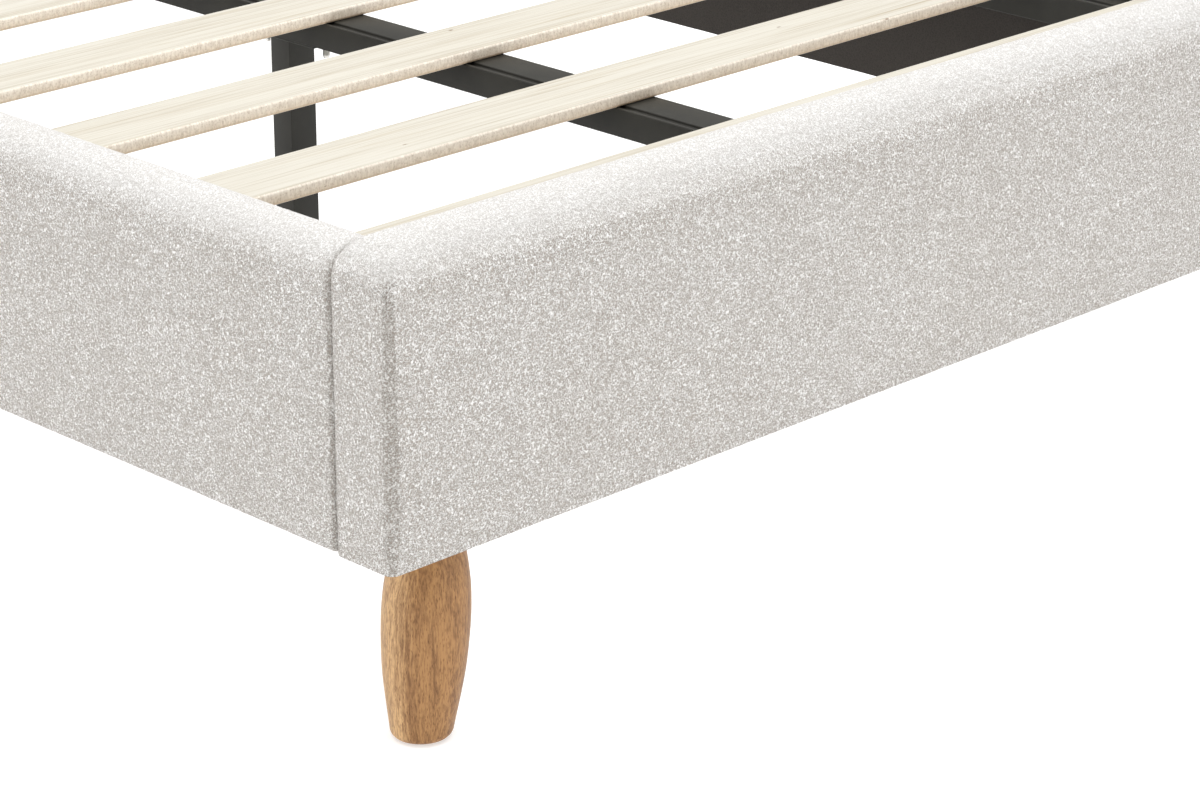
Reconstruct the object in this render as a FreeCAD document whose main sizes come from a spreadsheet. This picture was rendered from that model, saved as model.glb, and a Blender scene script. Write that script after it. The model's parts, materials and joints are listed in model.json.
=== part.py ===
import FreeCAD, Part
import os
import re
import Sketcher
from FreeCAD import Placement, Rotation, Vector

# Upholstered platform bed with a headboard, single (twin) size, in millimetres.
# Frame: X across the bed, Y from the foot to the head, Z up. The origin is on the
# floor, under the middle of the bed. Panel heights are measured from the panels'
# bottom edge, which stands one leg height above the floor.

SIZES = [
    # overall sizes
    ("inner_width", 1025, "clear width between the side rails"),
    ("inner_length", 1930, "clear length between footboard and headboard"),
    ("leg_height", 140, "floor to the panels' bottom edge"),
    # upholstered panels
    ("foot_thick", 56, "footboard, outer face to inner face"),
    ("foot_height", 214, "footboard height"),
    ("rail_thick", 45, "side rail, outer face to inner face"),
    ("rail_height", 207, "side rail height"),
    ("head_thick", 80, "headboard, front to back"),
    ("head_height", 910, "headboard height"),
    ("cover_thick", 3, "pile fabric"),
    ("lining_thick", 1, "non-woven lining cloth"),
    ("foam_front", 15, "foam on an outer face"),
    ("foam_top", 18, "foam over a top edge and round an end"),
    ("head_foam", 30, "foam on the front of the headboard"),
    ("head_panel", 5, "hardboard behind the headboard foam"),
    ("head_stile", 70, "width of the headboard frame's members"),
    ("top_round", 30, "outer top edge radius"),
    ("inner_round", 20, "inner top edge radius"),
    ("rail_round", 25, "side rail's outer top edge radius"),
    ("rail_inner", 16, "side rail's inner top edge radius"),
    ("end_round", 30, "radius of a panel's upper end corners"),
    ("corner_round", 7, "radius of a panel's outer upright corners"),
    ("head_end_round", 55, "radius of the headboard's upper corners"),
    ("head_edge_round", 24, "radius along the headboard's edges"),
    # deck
    ("deck_height", 125.6, "top of the ledges and the beam"),
    ("lining_rise", 1, "lining's upper edge above the deck height"),
    ("slat_width", 65, "slat width"),
    ("slat_thick", 11, "slat thickness"),
    ("slat_edge", 2.5, "rounding of a slat's long edges"),
    ("slat_start", 105.6, "footboard to the first slat"),
    ("slat_end", 45.4, "last slat to the headboard"),
    ("slat_gap", 4, "slat end to side rail"),
    ("beam_width", 44.5, "centre beam width"),
    ("beam_depth", 22.6, "centre beam depth"),
    ("ledge_width", 31, "slat ledge width"),
    ("ledge_depth", 26.8, "slat ledge depth"),
    ("land_width", 3.5, "lip beside the rolled groove"),
    ("groove_width", 7, "rolled groove width"),
    ("groove_depth", 2.5, "rolled groove depth"),
    ("steel_wall", 1.5, "wall of the steel sections"),
    ("cap_thick", 3, "plastic end cap"),
    # steel brackets
    ("plate_thick", 3, "bracket plate"),
    ("bracket_reach", 60, "corner bracket leg"),
    ("bracket_height", 72, "corner bracket height"),
    ("bracket_rise", 20, "corner bracket above the panels' bottom edge"),
    ("bracket_gap", 2, "clearance between a corner bracket and the ledge over it"),
    ("hanger_width", 84, "beam bracket plate width"),
    ("hanger_drop", 36, "beam bracket plate height"),
    ("hanger_shelf", 46, "beam bracket shelf length"),
    # centre legs
    ("post_width", 28, "centre leg across the bed"),
    ("post_depth", 24, "centre leg along the bed"),
    ("post_place", 689, "footboard to the first centre leg's axis"),
    ("post_flange", 100, "centre leg flange length"),
    ("flange_width", 40, "centre leg flange width"),
    ("flange_bolt", 38, "flange bolt from the leg's axis, along the beam"),
    ("flange_bolt_side", 5, "flange bolt from the leg's axis, across the beam"),
    ("flange_bolt_tail", 9.5, "flange bolt below its nut"),
    ("plug_height", 12, "threaded plug in a centre leg"),
    ("stem_radius", 4, "levelling stem radius"),
    ("stem_gap", 0.3, "clearance round the levelling stem"),
    ("stem_length", 46, "levelling stem length"),
    ("pad_radius", 15, "levelling pad radius"),
    ("pad_height", 8, "levelling pad height"),
    ("level_gap", 16, "levelling pad to the centre leg at rest"),
    # wooden legs
    ("leg_inset_x", 64, "leg axis from the side face"),
    ("leg_inset_y", 35, "leg axis from the end face"),
    ("leg_top", 23, "leg radius at its top"),
    ("leg_belly", 28.7, "leg radius at its widest"),
    ("leg_middle", 28.4, "leg radius below the middle"),
    ("leg_toe", 20.5, "leg radius at its foot"),
    ("leg_splay", 9.8, "outward lean over the leg's height"),
    ("leg_edge", 5, "rounding of the leg's foot"),
    ("glide_radius", 13, "glide radius"),
    ("glide_thick", 1, "glide thickness"),
    # fasteners
    ("bolt_radius", 3, "bolt shank radius"),
    ("bolt_head", 5.5, "bolt head radius"),
    ("head_depth", 3.5, "bolt head height"),
    ("bolt_grip", 13, "bolt length in its insert"),
    ("insert_radius", 5, "threaded insert radius"),
    ("bracket_bolt_x", 38, "bracket bolt from the bracket's corner"),
    ("bolt_spread", 36, "spacing of a bracket's two bolts"),
    ("screw_radius", 2, "screw shank radius"),
    ("screw_head", 4, "screw head radius"),
    ("screw_cap", 2, "screw head height"),
    ("screw_bite", 22, "screw length in wood"),
    ("slat_screw_in", 11.5, "slat screw from the side rail"),
    ("slat_screw_tip", 7, "slat screw below the ledge's top wall"),
    ("hanger_radius", 4, "leg hanger bolt radius"),
    ("hanger_up", 26, "hanger bolt above the panels' bottom edge"),
    ("hanger_down", 25, "hanger bolt inside the leg"),
    ("tee_radius", 6.5, "tee nut barrel radius"),
    ("tee_height", 20, "tee nut barrel height"),
    ("nut_radius", 6.5, "flange nut radius"),
    ("nut_height", 5, "flange nut height"),
]

SLAT_COUNT = 11
LEDGE_SCREWS = 5

doc = FreeCAD.newDocument("UpholsteredBed")
sheet = doc.addObject("Spreadsheet::Sheet", "Sizes")
for row, (alias, size, note) in enumerate(SIZES, start=1):
    sheet.set("A%d" % row, note)
    sheet.set("B%d" % row, str(size))
    sheet.setAlias("B%d" % row, alias)
doc.recompute()

# Places worked out from the sizes above, as expressions on the sheet.
WIDTH = "(inner_width + 2 * rail_thick)"
LEFT = "(-(inner_width / 2 + rail_thick))"
FOOT = "(-(foot_thick + inner_length + head_thick) / 2)"
FOOT_INNER = "(-(inner_length + head_thick - foot_thick) / 2)"
HEAD_FRONT = "((inner_length + foot_thick - head_thick) / 2)"
MIDDLE = "((foot_thick - head_thick) / 2)"
BASE = "leg_height"
DECK = "(leg_height + deck_height)"
LINING_TOP = "(deck_height + lining_rise)"
LINING_FACE = "(cover_thick - lining_thick)"
SLAT_RUN = "(inner_length - slat_start - slat_end - slat_width)"

PLANES = {"XY": "XY_Plane", "XZ": "XZ_Plane", "YZ": "YZ_Plane"}
TURNS = {
    "+X": Rotation(Vector(0, 1, 0), 90),
    "-X": Rotation(Vector(0, 1, 0), -90),
    "+Y": Rotation(Vector(1, 0, 0), -90),
    "-Y": Rotation(Vector(1, 0, 0), 90),
    "+Z": Rotation(),
    "-Z": Rotation(Vector(1, 0, 0), 180),
}
nodes = []


def bind(item, prop, text):
    """Bind a property to an expression whose words are aliases on the sheet."""
    item.setExpression(prop, re.sub(r"[a-z][a-z_]+", r"Sizes.\g<0>", text))


def put(item, at, turn="+Z"):
    """Turn an object and bind its place to three expressions."""
    item.Placement = Placement(Vector(), TURNS[turn])
    for axis, text in zip("xyz", at):
        bind(item, "Placement.Base." + axis, text)
    return item


def keep(item, name):
    """Name a finished sub-part, so that it is written as its own file."""
    item.Label = name
    nodes.append(item)
    return item


def box(name, size, at):
    item = doc.addObject("Part::Box", name)
    for prop, text in zip(("Length", "Width", "Height"), size):
        bind(item, prop, text)
    return put(item, at)


def rod(name, radius, length, at, turn="+Z"):
    item = doc.addObject("Part::Cylinder", name)
    bind(item, "Radius", radius)
    bind(item, "Height", length)
    return put(item, at, turn)


def together(name, pieces):
    """Several separate solids in one object."""
    item = doc.addObject("Part::Compound", name)
    item.Links = pieces
    return item


def fuse(name, pieces):
    item = doc.addObject("Part::MultiFuse", name)
    item.Shapes = pieces
    return item


def common(name, pieces):
    item = doc.addObject("Part::MultiCommon", name)
    item.Shapes = pieces
    return item


def cut(name, base, tools):
    item = doc.addObject("Part::Cut", name)
    item.Base = base
    item.Tool = tools[0] if len(tools) == 1 else together(name + "_tools", tools)
    return item


def mirrored(name, source, normal):
    """A copy across the bed's centre plane (X) or halfway between the ends (Y)."""
    item = doc.addObject("Part::Mirroring", name)
    item.Source = source
    item.Normal = normal
    bind(item, "Base.y", MIDDLE)
    return item


def across(name, source):
    return mirrored(name, source, Vector(1, 0, 0))


def along(name, source):
    return mirrored(name, source, Vector(0, 1, 0))


def four_corners(name, source):
    """One object with the foot left piece and its three mirror copies."""
    right = across(name + "_right", source)
    head = along(name + "_head", source)
    return together(name, [source, right, head, across(name + "_head_right", head)])


def sketch_on(body, plane, name):
    sketch = body.newObject("Sketcher::SketchObject", name)
    origin = [item for item in body.Origin.OriginFeatures if item.Role == PLANES[plane]][0]
    sketch.AttachmentSupport = [(origin, "")]
    sketch.MapMode = "FlatFace"
    return sketch


def pin_point(sketch, edge, end, axis, text):
    """Fix one coordinate of a point, on an axis or at a bound distance from it."""
    if text == "0":
        sketch.addConstraint(Sketcher.Constraint("PointOnObject", edge, end, -2 if axis == "X" else -1))
        return
    number = sketch.addConstraint(Sketcher.Constraint("Distance" + axis, -1, 1, edge, end, 10.0))
    label = "%s%d" % (axis.lower(), edge)
    sketch.renameConstraint(number, label)
    bind(sketch, "Constraints." + label, text)


def outline(sketch, points):
    """A closed polygon whose corners are pairs of expressions."""
    first = sketch.GeometryCount
    count = len(points)
    ring = [Vector(10, 0, 0)]
    turn = Rotation(Vector(0, 0, 1), 360.0 / count)
    for _ in points[1:]:
        ring.append(turn.multVec(ring[-1]))
    for i in range(count):
        sketch.addGeometry(Part.LineSegment(ring[i], ring[(i + 1) % count]), False)
    for i in range(count):
        after = first + (i + 1) % count
        sketch.addConstraint(Sketcher.Constraint("Coincident", first + i, 2, after, 1))
    for i, (across_text, up_text) in enumerate(points):
        pin_point(sketch, first + i, 1, "X", across_text)
        pin_point(sketch, first + i, 1, "Y", up_text)


def rectangle(wide, high, start=("0", "0")):
    x, y = start
    if start == ("0", "0"):
        return [("0", "0"), (wide, "0"), (wide, high), ("0", high)]
    return [(x, y), (x + " + " + wide, y), (x + " + " + wide, y + " + " + high), (x, y + " + " + high)]


def padded(name, plane, outlines, length, at, rounds=()):
    """A body padded from closed outlines on one of its origin planes, with
    fillets: each is a radius and a test on an edge's middle and direction."""
    body = doc.addObject("PartDesign::Body", name)
    sketch = sketch_on(body, plane, name + "_section")
    for points in outlines:
        outline(sketch, points)
    pad = body.newObject("PartDesign::Pad", name + "_pad")
    pad.Profile = sketch
    pad.Reversed = plane == "XZ"
    bind(pad, "Length", length)
    put(body, at)
    doc.recompute()
    base = pad
    for number, (radius, wanted) in enumerate(rounds):
        names = matching_edges(base.Shape, wanted)
        fillet = body.newObject("PartDesign::Fillet", "%s_round_%d" % (name, number))
        fillet.Base = (base, names)
        bind(fillet, "Radius", radius)
        body.Tip = fillet
        doc.recompute()
        base = fillet
    return body


def matching_edges(shape, wanted):
    limits = shape.BoundBox
    names = []
    for number, edge in enumerate(shape.Edges, start=1):
        if not hasattr(edge.Curve, "Direction"):
            continue
        if wanted(edge.CenterOfMass, edge.Curve.Direction, limits):
            names.append("Edge%d" % number)
    return names


def near(first, second):
    return abs(first - second) < 0.01


# Edge tests for fillets.

def top_edge_at(axis, side):
    """The level top edge on the low or high side of an axis."""
    def wanted(middle, direction, limits):
        if abs(direction.z) > 0.5 or abs(getattr(direction, axis)) > 0.5:
            return False
        edge_side = getattr(limits, axis.upper() + ("Min" if side < 0 else "Max"))
        return near(middle.z, limits.ZMax) and near(getattr(middle, axis), edge_side)
    return wanted


def upright_at_y(side):
    """The upright edges on the low or high side of Y."""
    def wanted(middle, direction, limits):
        edge_side = limits.YMin if side < 0 else limits.YMax
        return abs(direction.z) > 0.5 and near(middle.y, edge_side)
    return wanted


def long_edges(_middle, direction, _limits):
    return abs(direction.x) > 0.5


# Upholstered panels.

def end_panel(name, inset, thick, high, at_y, rounds):
    """The closed shape of the footboard or headboard, inset on every side."""
    outer, inner, ends, corners, open_side = rounds
    inside = "" if inset == "0" else " - " + inset
    wide = "%s - 2 * %s" % (WIDTH, inset)
    deep = "%s - 2 * %s" % (thick, inset)
    tall = "%s - 2 * %s" % (high, inset)
    at = ("%s + %s" % (LEFT, inset), "%s + %s" % (at_y, inset), "%s + %s" % (BASE, inset))
    section = padded(name + "_along", "YZ", [rectangle(deep, tall)], wide, at,
                     [(outer + inside, top_edge_at("y", open_side)),
                      (inner + inside, top_edge_at("y", -open_side))])
    front = padded(name + "_front", "XZ", [rectangle(wide, tall)], deep, at,
                   [(ends + inside, top_edge_at("x", -1)), (ends + inside, top_edge_at("x", 1))])
    plan = padded(name + "_plan", "XY", [rectangle(wide, deep)], tall, at,
                  [(corners + inside, upright_at_y(open_side))])
    return common(name, [section, front, plan])


def rail_shape(name, inset):
    """A side rail's closed section, inset on every side but its two ends."""
    inside = "" if inset == "0" else " - " + inset
    section = rectangle("rail_thick - 2 * " + inset, "rail_height - 2 * " + inset)
    at = ("%s + %s" % (LEFT, inset), FOOT_INNER, "%s + %s" % (BASE, inset))
    return padded(name, "XZ", [section], "inner_length", at,
                  [("rail_round" + inside, top_edge_at("x", -1)),
                   ("rail_inner" + inside, top_edge_at("x", 1))])


def side_rail(bolts, inserts, ledge_screws):
    """The left side rail: board, foam, cover and lining."""
    inside = ("rail_thick - foam_front - 2 * cover_thick", "inner_length",
              "rail_height - foam_top - 2 * cover_thick")
    blank = box("rail_blank", inside,
                (LEFT + " + cover_thick + foam_front", FOOT_INNER, BASE + " + cover_thick"))
    window = box("rail_window", ("cover_thick", "inner_length", LINING_TOP + " - cover_thick"),
                 (LEFT + " + rail_thick - cover_thick", FOOT_INNER, BASE + " + cover_thick"))
    lining = box("rail_lining_sheet", ("lining_thick", "inner_length", LINING_TOP + " - cover_thick"),
                 (LEFT + " + rail_thick - cover_thick", FOOT_INNER, BASE + " + cover_thick"))
    filling = rail_shape("rail_filling", "cover_thick")
    core = cut("rail_core", blank, [inserts, ledge_screws])
    foam = cut("rail_foam", filling, [blank])
    cover = cut("rail_cover", rail_shape("rail_outside", "0"), [filling, window])
    sheet_cut = cut("rail_lining", lining, [bolts, ledge_screws])
    return {"core": core, "foam": foam, "cover": cover, "lining": sheet_cut}


def footboard(bolts, inserts, hanger_screws, leg_bolts, leg_nuts):
    rounds = ("top_round", "inner_round", "end_round", "corner_round", -1)
    filling = end_panel("foot_filling", "cover_thick", "foot_thick", "foot_height", FOOT, rounds)
    outside = end_panel("foot_outside", "0", "foot_thick", "foot_height", FOOT, rounds)
    side = "(cover_thick + foam_top)"
    blank = box("foot_blank",
                ("%s - 2 * %s" % (WIDTH, side), "foot_thick - foam_front - 2 * cover_thick",
                 "foot_height - foam_top - 2 * cover_thick"),
                (LEFT + " + " + side, FOOT + " + cover_thick + foam_front", BASE + " + cover_thick"))
    sheet_size = ("%s - 2 * %s" % (WIDTH, side), LINING_TOP + " - cover_thick")
    place = (LEFT + " + " + side, FOOT_INNER + " - cover_thick", BASE + " + cover_thick")
    window = box("foot_window", (sheet_size[0], "cover_thick", sheet_size[1]), place)
    lining = box("foot_lining_sheet", (sheet_size[0], "lining_thick", sheet_size[1]), place)
    keep(cut("foot_core", blank, [inserts, hanger_screws, leg_bolts, leg_nuts]), "footboard_core")
    keep(cut("foot_foam", filling, [blank]), "footboard_foam")
    keep(cut("foot_cover", outside, [filling, window, leg_bolts]), "footboard_cover")
    keep(cut("foot_lining", lining, [bolts, hanger_screws]), "footboard_lining")


def headboard(bolts, inserts, hanger_screws, leg_bolts, leg_nuts):
    """Frame, hardboard, foam, cover, and a cloth on the back and behind the deck."""
    rounds = ("head_edge_round", "head_edge_round", "head_end_round", "corner_round", 1)
    filling = end_panel("head_filling", "cover_thick", "head_thick", "head_height", HEAD_FRONT, rounds)
    outside = end_panel("head_outside", "0", "head_thick", "head_height", HEAD_FRONT, rounds)
    side = "(cover_thick + foam_top)"
    wide = "%s - 2 * %s" % (WIDTH, side)
    left = LEFT + " + " + side
    low = BASE + " + cover_thick"
    tall = "head_height - foam_top - 2 * cover_thick - head_edge_round"
    frame_front = "(cover_thick + head_foam + head_panel)"
    frame_deep = "(head_thick - %s - cover_thick)" % frame_front
    base_tall = LINING_TOP + " - cover_thick"
    upper = box("head_upper", (wide, frame_deep, tall), (left, HEAD_FRONT + " + " + frame_front, low))
    base = box("head_base", (wide, "head_thick - 2 * cover_thick", base_tall),
               (left, HEAD_FRONT + " + cover_thick", low))
    blank = fuse("head_blank", [upper, base])
    bay_wide = "((%s - 3 * head_stile) / 2)" % wide
    bay_low = "%s + %s" % (BASE, LINING_TOP)
    bay_tall = "%s - %s - head_stile" % (tall, base_tall)
    bays = [box("head_bay_%d" % n, (bay_wide, frame_deep, bay_tall),
                ("%s + head_stile + %d * (%s + head_stile)" % (left, n, bay_wide),
                 HEAD_FRONT + " + " + frame_front, bay_low)) for n in range(2)]
    board = box("head_board", (wide, "head_panel", "%s - %s" % (tall, base_tall)),
                (left, HEAD_FRONT + " + cover_thick + head_foam", bay_low))
    place = (left, HEAD_FRONT, low)
    window = box("head_window", (wide, "cover_thick", base_tall), place)
    lining = box("head_lining_sheet", (wide, "lining_thick", base_tall),
                 (left, "%s + %s" % (HEAD_FRONT, LINING_FACE), low))
    back_place = (left, "%s + head_thick - cover_thick" % HEAD_FRONT, low)
    back_window = box("head_back_window", (wide, "cover_thick", tall), back_place)
    keep(cut("head_frame", blank, bays + [inserts, hanger_screws, leg_bolts, leg_nuts]), "headboard_frame")
    keep(board, "headboard_panel")
    keep(cut("head_foam", filling, [blank, board]), "headboard_foam")
    keep(cut("head_cover", outside, [filling, window, back_window, leg_bolts]), "headboard_cover")
    keep(cut("head_lining", lining, [bolts, hanger_screws]), "headboard_lining")
    keep(box("head_back_cloth", (wide, "lining_thick", tall), back_place), "headboard_back_cloth")


# Steel sections of the deck.

def grooved_section(wide, deep, groove_left):
    """Outer and inner outlines of a closed tube with a groove rolled in its top.
    The groove is on the left, or on the right with the outline counted leftwards."""
    lip = "land_width"
    far = "(land_width + groove_width)"
    floor = "(%s - groove_depth)" % deep

    def at(text):
        return text if groove_left else ("0" if text == wide else "%s - (%s)" % (wide, text))

    def edge(text):
        return text if groove_left else wide if text == "0" else at(text)

    outer = [("0", "0"), (wide, "0"), (wide, deep), (far, deep), (far, floor), (lip, floor),
             (lip, deep), ("0", deep)]
    inner_top = "(%s - steel_wall)" % deep
    step = "(%s + steel_wall)" % far
    under = "(%s - steel_wall)" % floor
    right = "%s - steel_wall" % wide
    inner = [("steel_wall", "steel_wall"), (right, "steel_wall"), (right, inner_top),
             (step, inner_top), (step, under), ("steel_wall", under)]
    return [[(edge(x), y) for x, y in outer], [(edge(x), y) for x, y in inner]]


def centre_beam(hanger_bolts, flange_bolts):
    run = "(inner_length + 2 * %s - 2 * plate_thick - 2 * cap_thick)" % LINING_FACE
    start = "%s - %s + plate_thick + cap_thick" % (FOOT_INNER, LINING_FACE)
    tube = padded("beam_tube", "XZ", grooved_section("beam_width", "beam_depth", True), run,
                  ("-beam_width / 2", start, DECK + " - beam_depth"))
    keep(cut("beam", tube, [hanger_bolts, flange_bolts]), "centre_beam")
    cap = box("beam_cap", ("beam_width", "cap_thick", "beam_depth"),
              ("-beam_width / 2", "%s - %s + plate_thick" % (FOOT_INNER, LINING_FACE), DECK + " - beam_depth"))
    return [cap, along("beam_cap_head", cap)]


def slat_ledge(screws, slat_holes):
    """The left ledge, screwed to the side rail's board and clear of the corner brackets."""
    clear = box("bracket_room", ("bracket_reach + bracket_gap", "bracket_reach + bracket_gap",
                                 "bracket_height + bracket_gap"),
                ("%s + rail_thick - %s" % (LEFT, LINING_FACE), "%s - %s" % (FOOT_INNER, LINING_FACE),
                 BASE + " + bracket_rise"))
    tube = padded("ledge_tube", "XZ", grooved_section("ledge_width", "ledge_depth", False),
                  "(inner_length - 2 * cap_thick)",
                  ("%s + rail_thick - %s" % (LEFT, LINING_FACE), FOOT_INNER + " + cap_thick",
                   DECK + " - ledge_depth"))
    rooms = [clear, along("bracket_room_head", clear)]
    ledge = keep(cut("ledge", tube, [screws, slat_holes] + rooms), "left_slat_ledge")
    keep(across("ledge_right", ledge), "right_slat_ledge")
    blank = box("ledge_cap_blank", ("ledge_width", "cap_thick", "ledge_depth"),
                ("%s + rail_thick - %s" % (LEFT, LINING_FACE), FOOT_INNER, DECK + " - ledge_depth"))
    cap = cut("ledge_cap", blank, [clear])
    cap_head = along("ledge_cap_head", cap)
    return [cap, cap_head, across("ledge_cap_right", cap), across("ledge_cap_head_right", cap_head)]


def corner_brackets(bolts):
    """A steel angle in each corner, below the ledges."""
    corner = ("%s + rail_thick - %s" % (LEFT, LINING_FACE), "%s - %s" % (FOOT_INNER, LINING_FACE))
    angle = [("0", "0"), ("bracket_reach", "0"), ("bracket_reach", "plate_thick"),
             ("plate_thick", "plate_thick"), ("plate_thick", "bracket_reach"), ("0", "bracket_reach")]
    blank = padded("bracket_angle", "XY", [angle], "bracket_height",
                   corner + (BASE + " + bracket_rise",))
    left = keep(cut("bracket", blank, [bolts]), "foot_left_bracket")
    keep(across("bracket_right", left), "foot_right_bracket")
    head = keep(along("bracket_head", left), "head_left_bracket")
    keep(across("bracket_head_right", head), "head_right_bracket")


def beam_hanger(screws, bolt_hole):
    """An L bracket that carries one end of the centre beam."""
    face = "%s - %s" % (FOOT_INNER, LINING_FACE)
    low = DECK + " - beam_depth - plate_thick"
    plate = box("hanger_plate", ("hanger_width", "plate_thick", "hanger_drop"),
                ("-hanger_width / 2", face, DECK + " - hanger_drop"))
    shelf = box("hanger_shelf_plate", ("beam_width", "hanger_shelf", "plate_thick"),
                ("-beam_width / 2", face, low))
    bracket = cut("hanger", fuse("hanger_blank", [plate, shelf]), [screws, bolt_hole])
    keep(together("hangers", [bracket, along("hanger_head", bracket)]), "beam_brackets")


# Fasteners.

def bolt_at(name, at, turn, shank, head, grip, cap):
    """A fastener whose head's underside is at a point; its shank runs along turn."""
    opposite = {"+": "-", "-": "+"}[turn[0]] + turn[1]
    stem = rod(name + "_shank", shank, grip, at, turn)
    return stem, fuse(name, [stem, rod(name + "_head", head, cap, at, opposite)])


def corner_fasteners():
    """Two bolts into the side rail and two into the end panel at each corner."""
    side_face = "%s + rail_thick - %s + plate_thick" % (LEFT, LINING_FACE)
    end_face = "%s - %s + plate_thick" % (FOOT_INNER, LINING_FACE)
    side_place = "%s - %s + bracket_bolt_x" % (FOOT_INNER, LINING_FACE)
    end_place = "%s + rail_thick - %s + bracket_bolt_x" % (LEFT, LINING_FACE)
    grip = "plate_thick + lining_thick + bolt_grip"
    skip = " - plate_thick - lining_thick"
    bolts, shanks, sleeves, pockets = [], [], [], []
    for number in range(2):
        height = BASE + " + bracket_rise + bracket_height / 2 + %g * bolt_spread" % (number - 0.5)
        places = [("side", (side_face, side_place, height), (side_face + skip, side_place, height), "-X"),
                  ("end", (end_place, end_face, height), (end_place, end_face + skip, height), "-Y")]
        for label, at, start, turn in places:
            name = "corner_%s_%d" % (label, number)
            shank, bolt = bolt_at(name, at, turn, "bolt_radius", "bolt_head", grip, "head_depth")
            pocket = rod(name + "_pocket", "insert_radius", "bolt_grip", start, turn)
            bolts.append(bolt)
            shanks.append(shank)
            pockets.append(pocket)
            sleeves.append(cut(name + "_insert", pocket, [shank]))
    keep(four_corners("corner_bolts", together("corner_bolt_set", bolts)), "corner_bolts")
    keep(four_corners("corner_inserts", together("corner_insert_set", sleeves)), "corner_inserts")
    return (together("corner_shank_set", shanks),
            four_corners("corner_shanks", together("corner_shank_all", shanks)),
            four_corners("corner_pockets", together("corner_pocket_set", pockets)))


def ledge_fasteners():
    """Screws through each ledge and lining into the side rail's board."""
    face = "%s + rail_thick - %s + ledge_width" % (LEFT, LINING_FACE)
    length = "ledge_width + lining_thick + screw_bite"
    shanks, screws = [], []
    for number in range(LEDGE_SCREWS):
        place = "%s + inner_length * %g" % (FOOT_INNER, (number + 0.5) / LEDGE_SCREWS)
        shank, screw = bolt_at("ledge_screw_%d" % number, (face, place, DECK + " - ledge_depth / 2"), "-X",
                               "screw_radius", "screw_head", length, "screw_cap")
        shanks.append(shank)
        screws.append(screw)
    left = together("ledge_screws_left", screws)
    keep(together("ledge_screws", [left, across("ledge_screws_right", left)]), "ledge_screws")
    return together("ledge_screw_shanks", shanks)


def hanger_fasteners():
    """Two screws hold each beam bracket, and one screw holds the beam on it."""
    face = "%s - %s + plate_thick" % (FOOT_INNER, LINING_FACE)
    shanks, screws = [], []
    for number, side in enumerate((-1, 1)):
        at = ("%d * (hanger_width / 2 - bolt_head - plate_thick)" % side, face, DECK + " - hanger_drop / 2")
        shank, screw = bolt_at("hanger_screw_%d" % number, at, "-Y", "screw_radius", "screw_head",
                               "plate_thick + lining_thick + screw_bite", "screw_cap")
        shanks.append(shank)
        screws.append(screw)
    foot = together("hanger_screws_foot", screws)
    keep(together("hanger_screws", [foot, along("hanger_screws_head", foot)]), "beam_bracket_screws")
    stems = together("hanger_shanks_foot", shanks)
    stems_head = along("hanger_shanks_head", stems)

    at = ("0", "%s - %s + hanger_shelf - bolt_head - plate_thick" % (FOOT_INNER, LINING_FACE),
          DECK + " - beam_depth - plate_thick")
    shank, bolt = bolt_at("beam_bolt", at, "+Z", "bolt_radius", "bolt_head",
                          "plate_thick + steel_wall + bolt_grip", "head_depth")
    keep(together("beam_bolts", [bolt, along("beam_bolt_head_end", bolt)]), "beam_bolts")
    return stems, stems_head, shank, together("beam_shanks", [shank, along("beam_shank_head_end", shank)])


def slat_fasteners():
    """One screw through each slat end into the ledge, its head flush with the slat."""
    shanks, screws = [], []
    seat = DECK + " + slat_thick - screw_cap"
    for number in range(SLAT_COUNT):
        at = ("%s + rail_thick + slat_screw_in" % LEFT, slat_centre(number), seat)
        shank, screw = bolt_at("slat_screw_%d" % number, at, "-Z", "screw_radius", "screw_head",
                               "slat_thick - screw_cap + steel_wall + slat_screw_tip", "screw_cap")
        shanks.append(shank)
        screws.append(screw)
    left = together("slat_screws_left", screws)
    keep(together("slat_screws", [left, across("slat_screws_right", left)]), "slat_screws")
    return screws, together("slat_screw_shanks", shanks)


def slat_centre(number):
    place = "%s + slat_start + slat_width / 2 + %g * %s"
    return place % (FOOT_INNER, number / (SLAT_COUNT - 1), SLAT_RUN)


def slats(screws):
    for number in range(SLAT_COUNT):
        name = "slat_%02d" % (number + 1)
        section = rectangle("slat_width", "slat_thick")
        at = ("%s + rail_thick + slat_gap" % LEFT, "%s - slat_width / 2" % slat_centre(number), DECK)
        blank = padded(name + "_blank", "YZ", [section], "inner_width - 2 * slat_gap", at,
                       [("slat_edge", long_edges)])
        screw = screws[number]
        keep(cut(name + "_cut", blank, [screw, across(name + "_far_screw", screw)]), name)


# Centre legs, each with a levelling foot that screws in and out.

def flange_places(centre):
    return ["%s - flange_bolt" % centre, "%s + flange_bolt" % centre]


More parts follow.
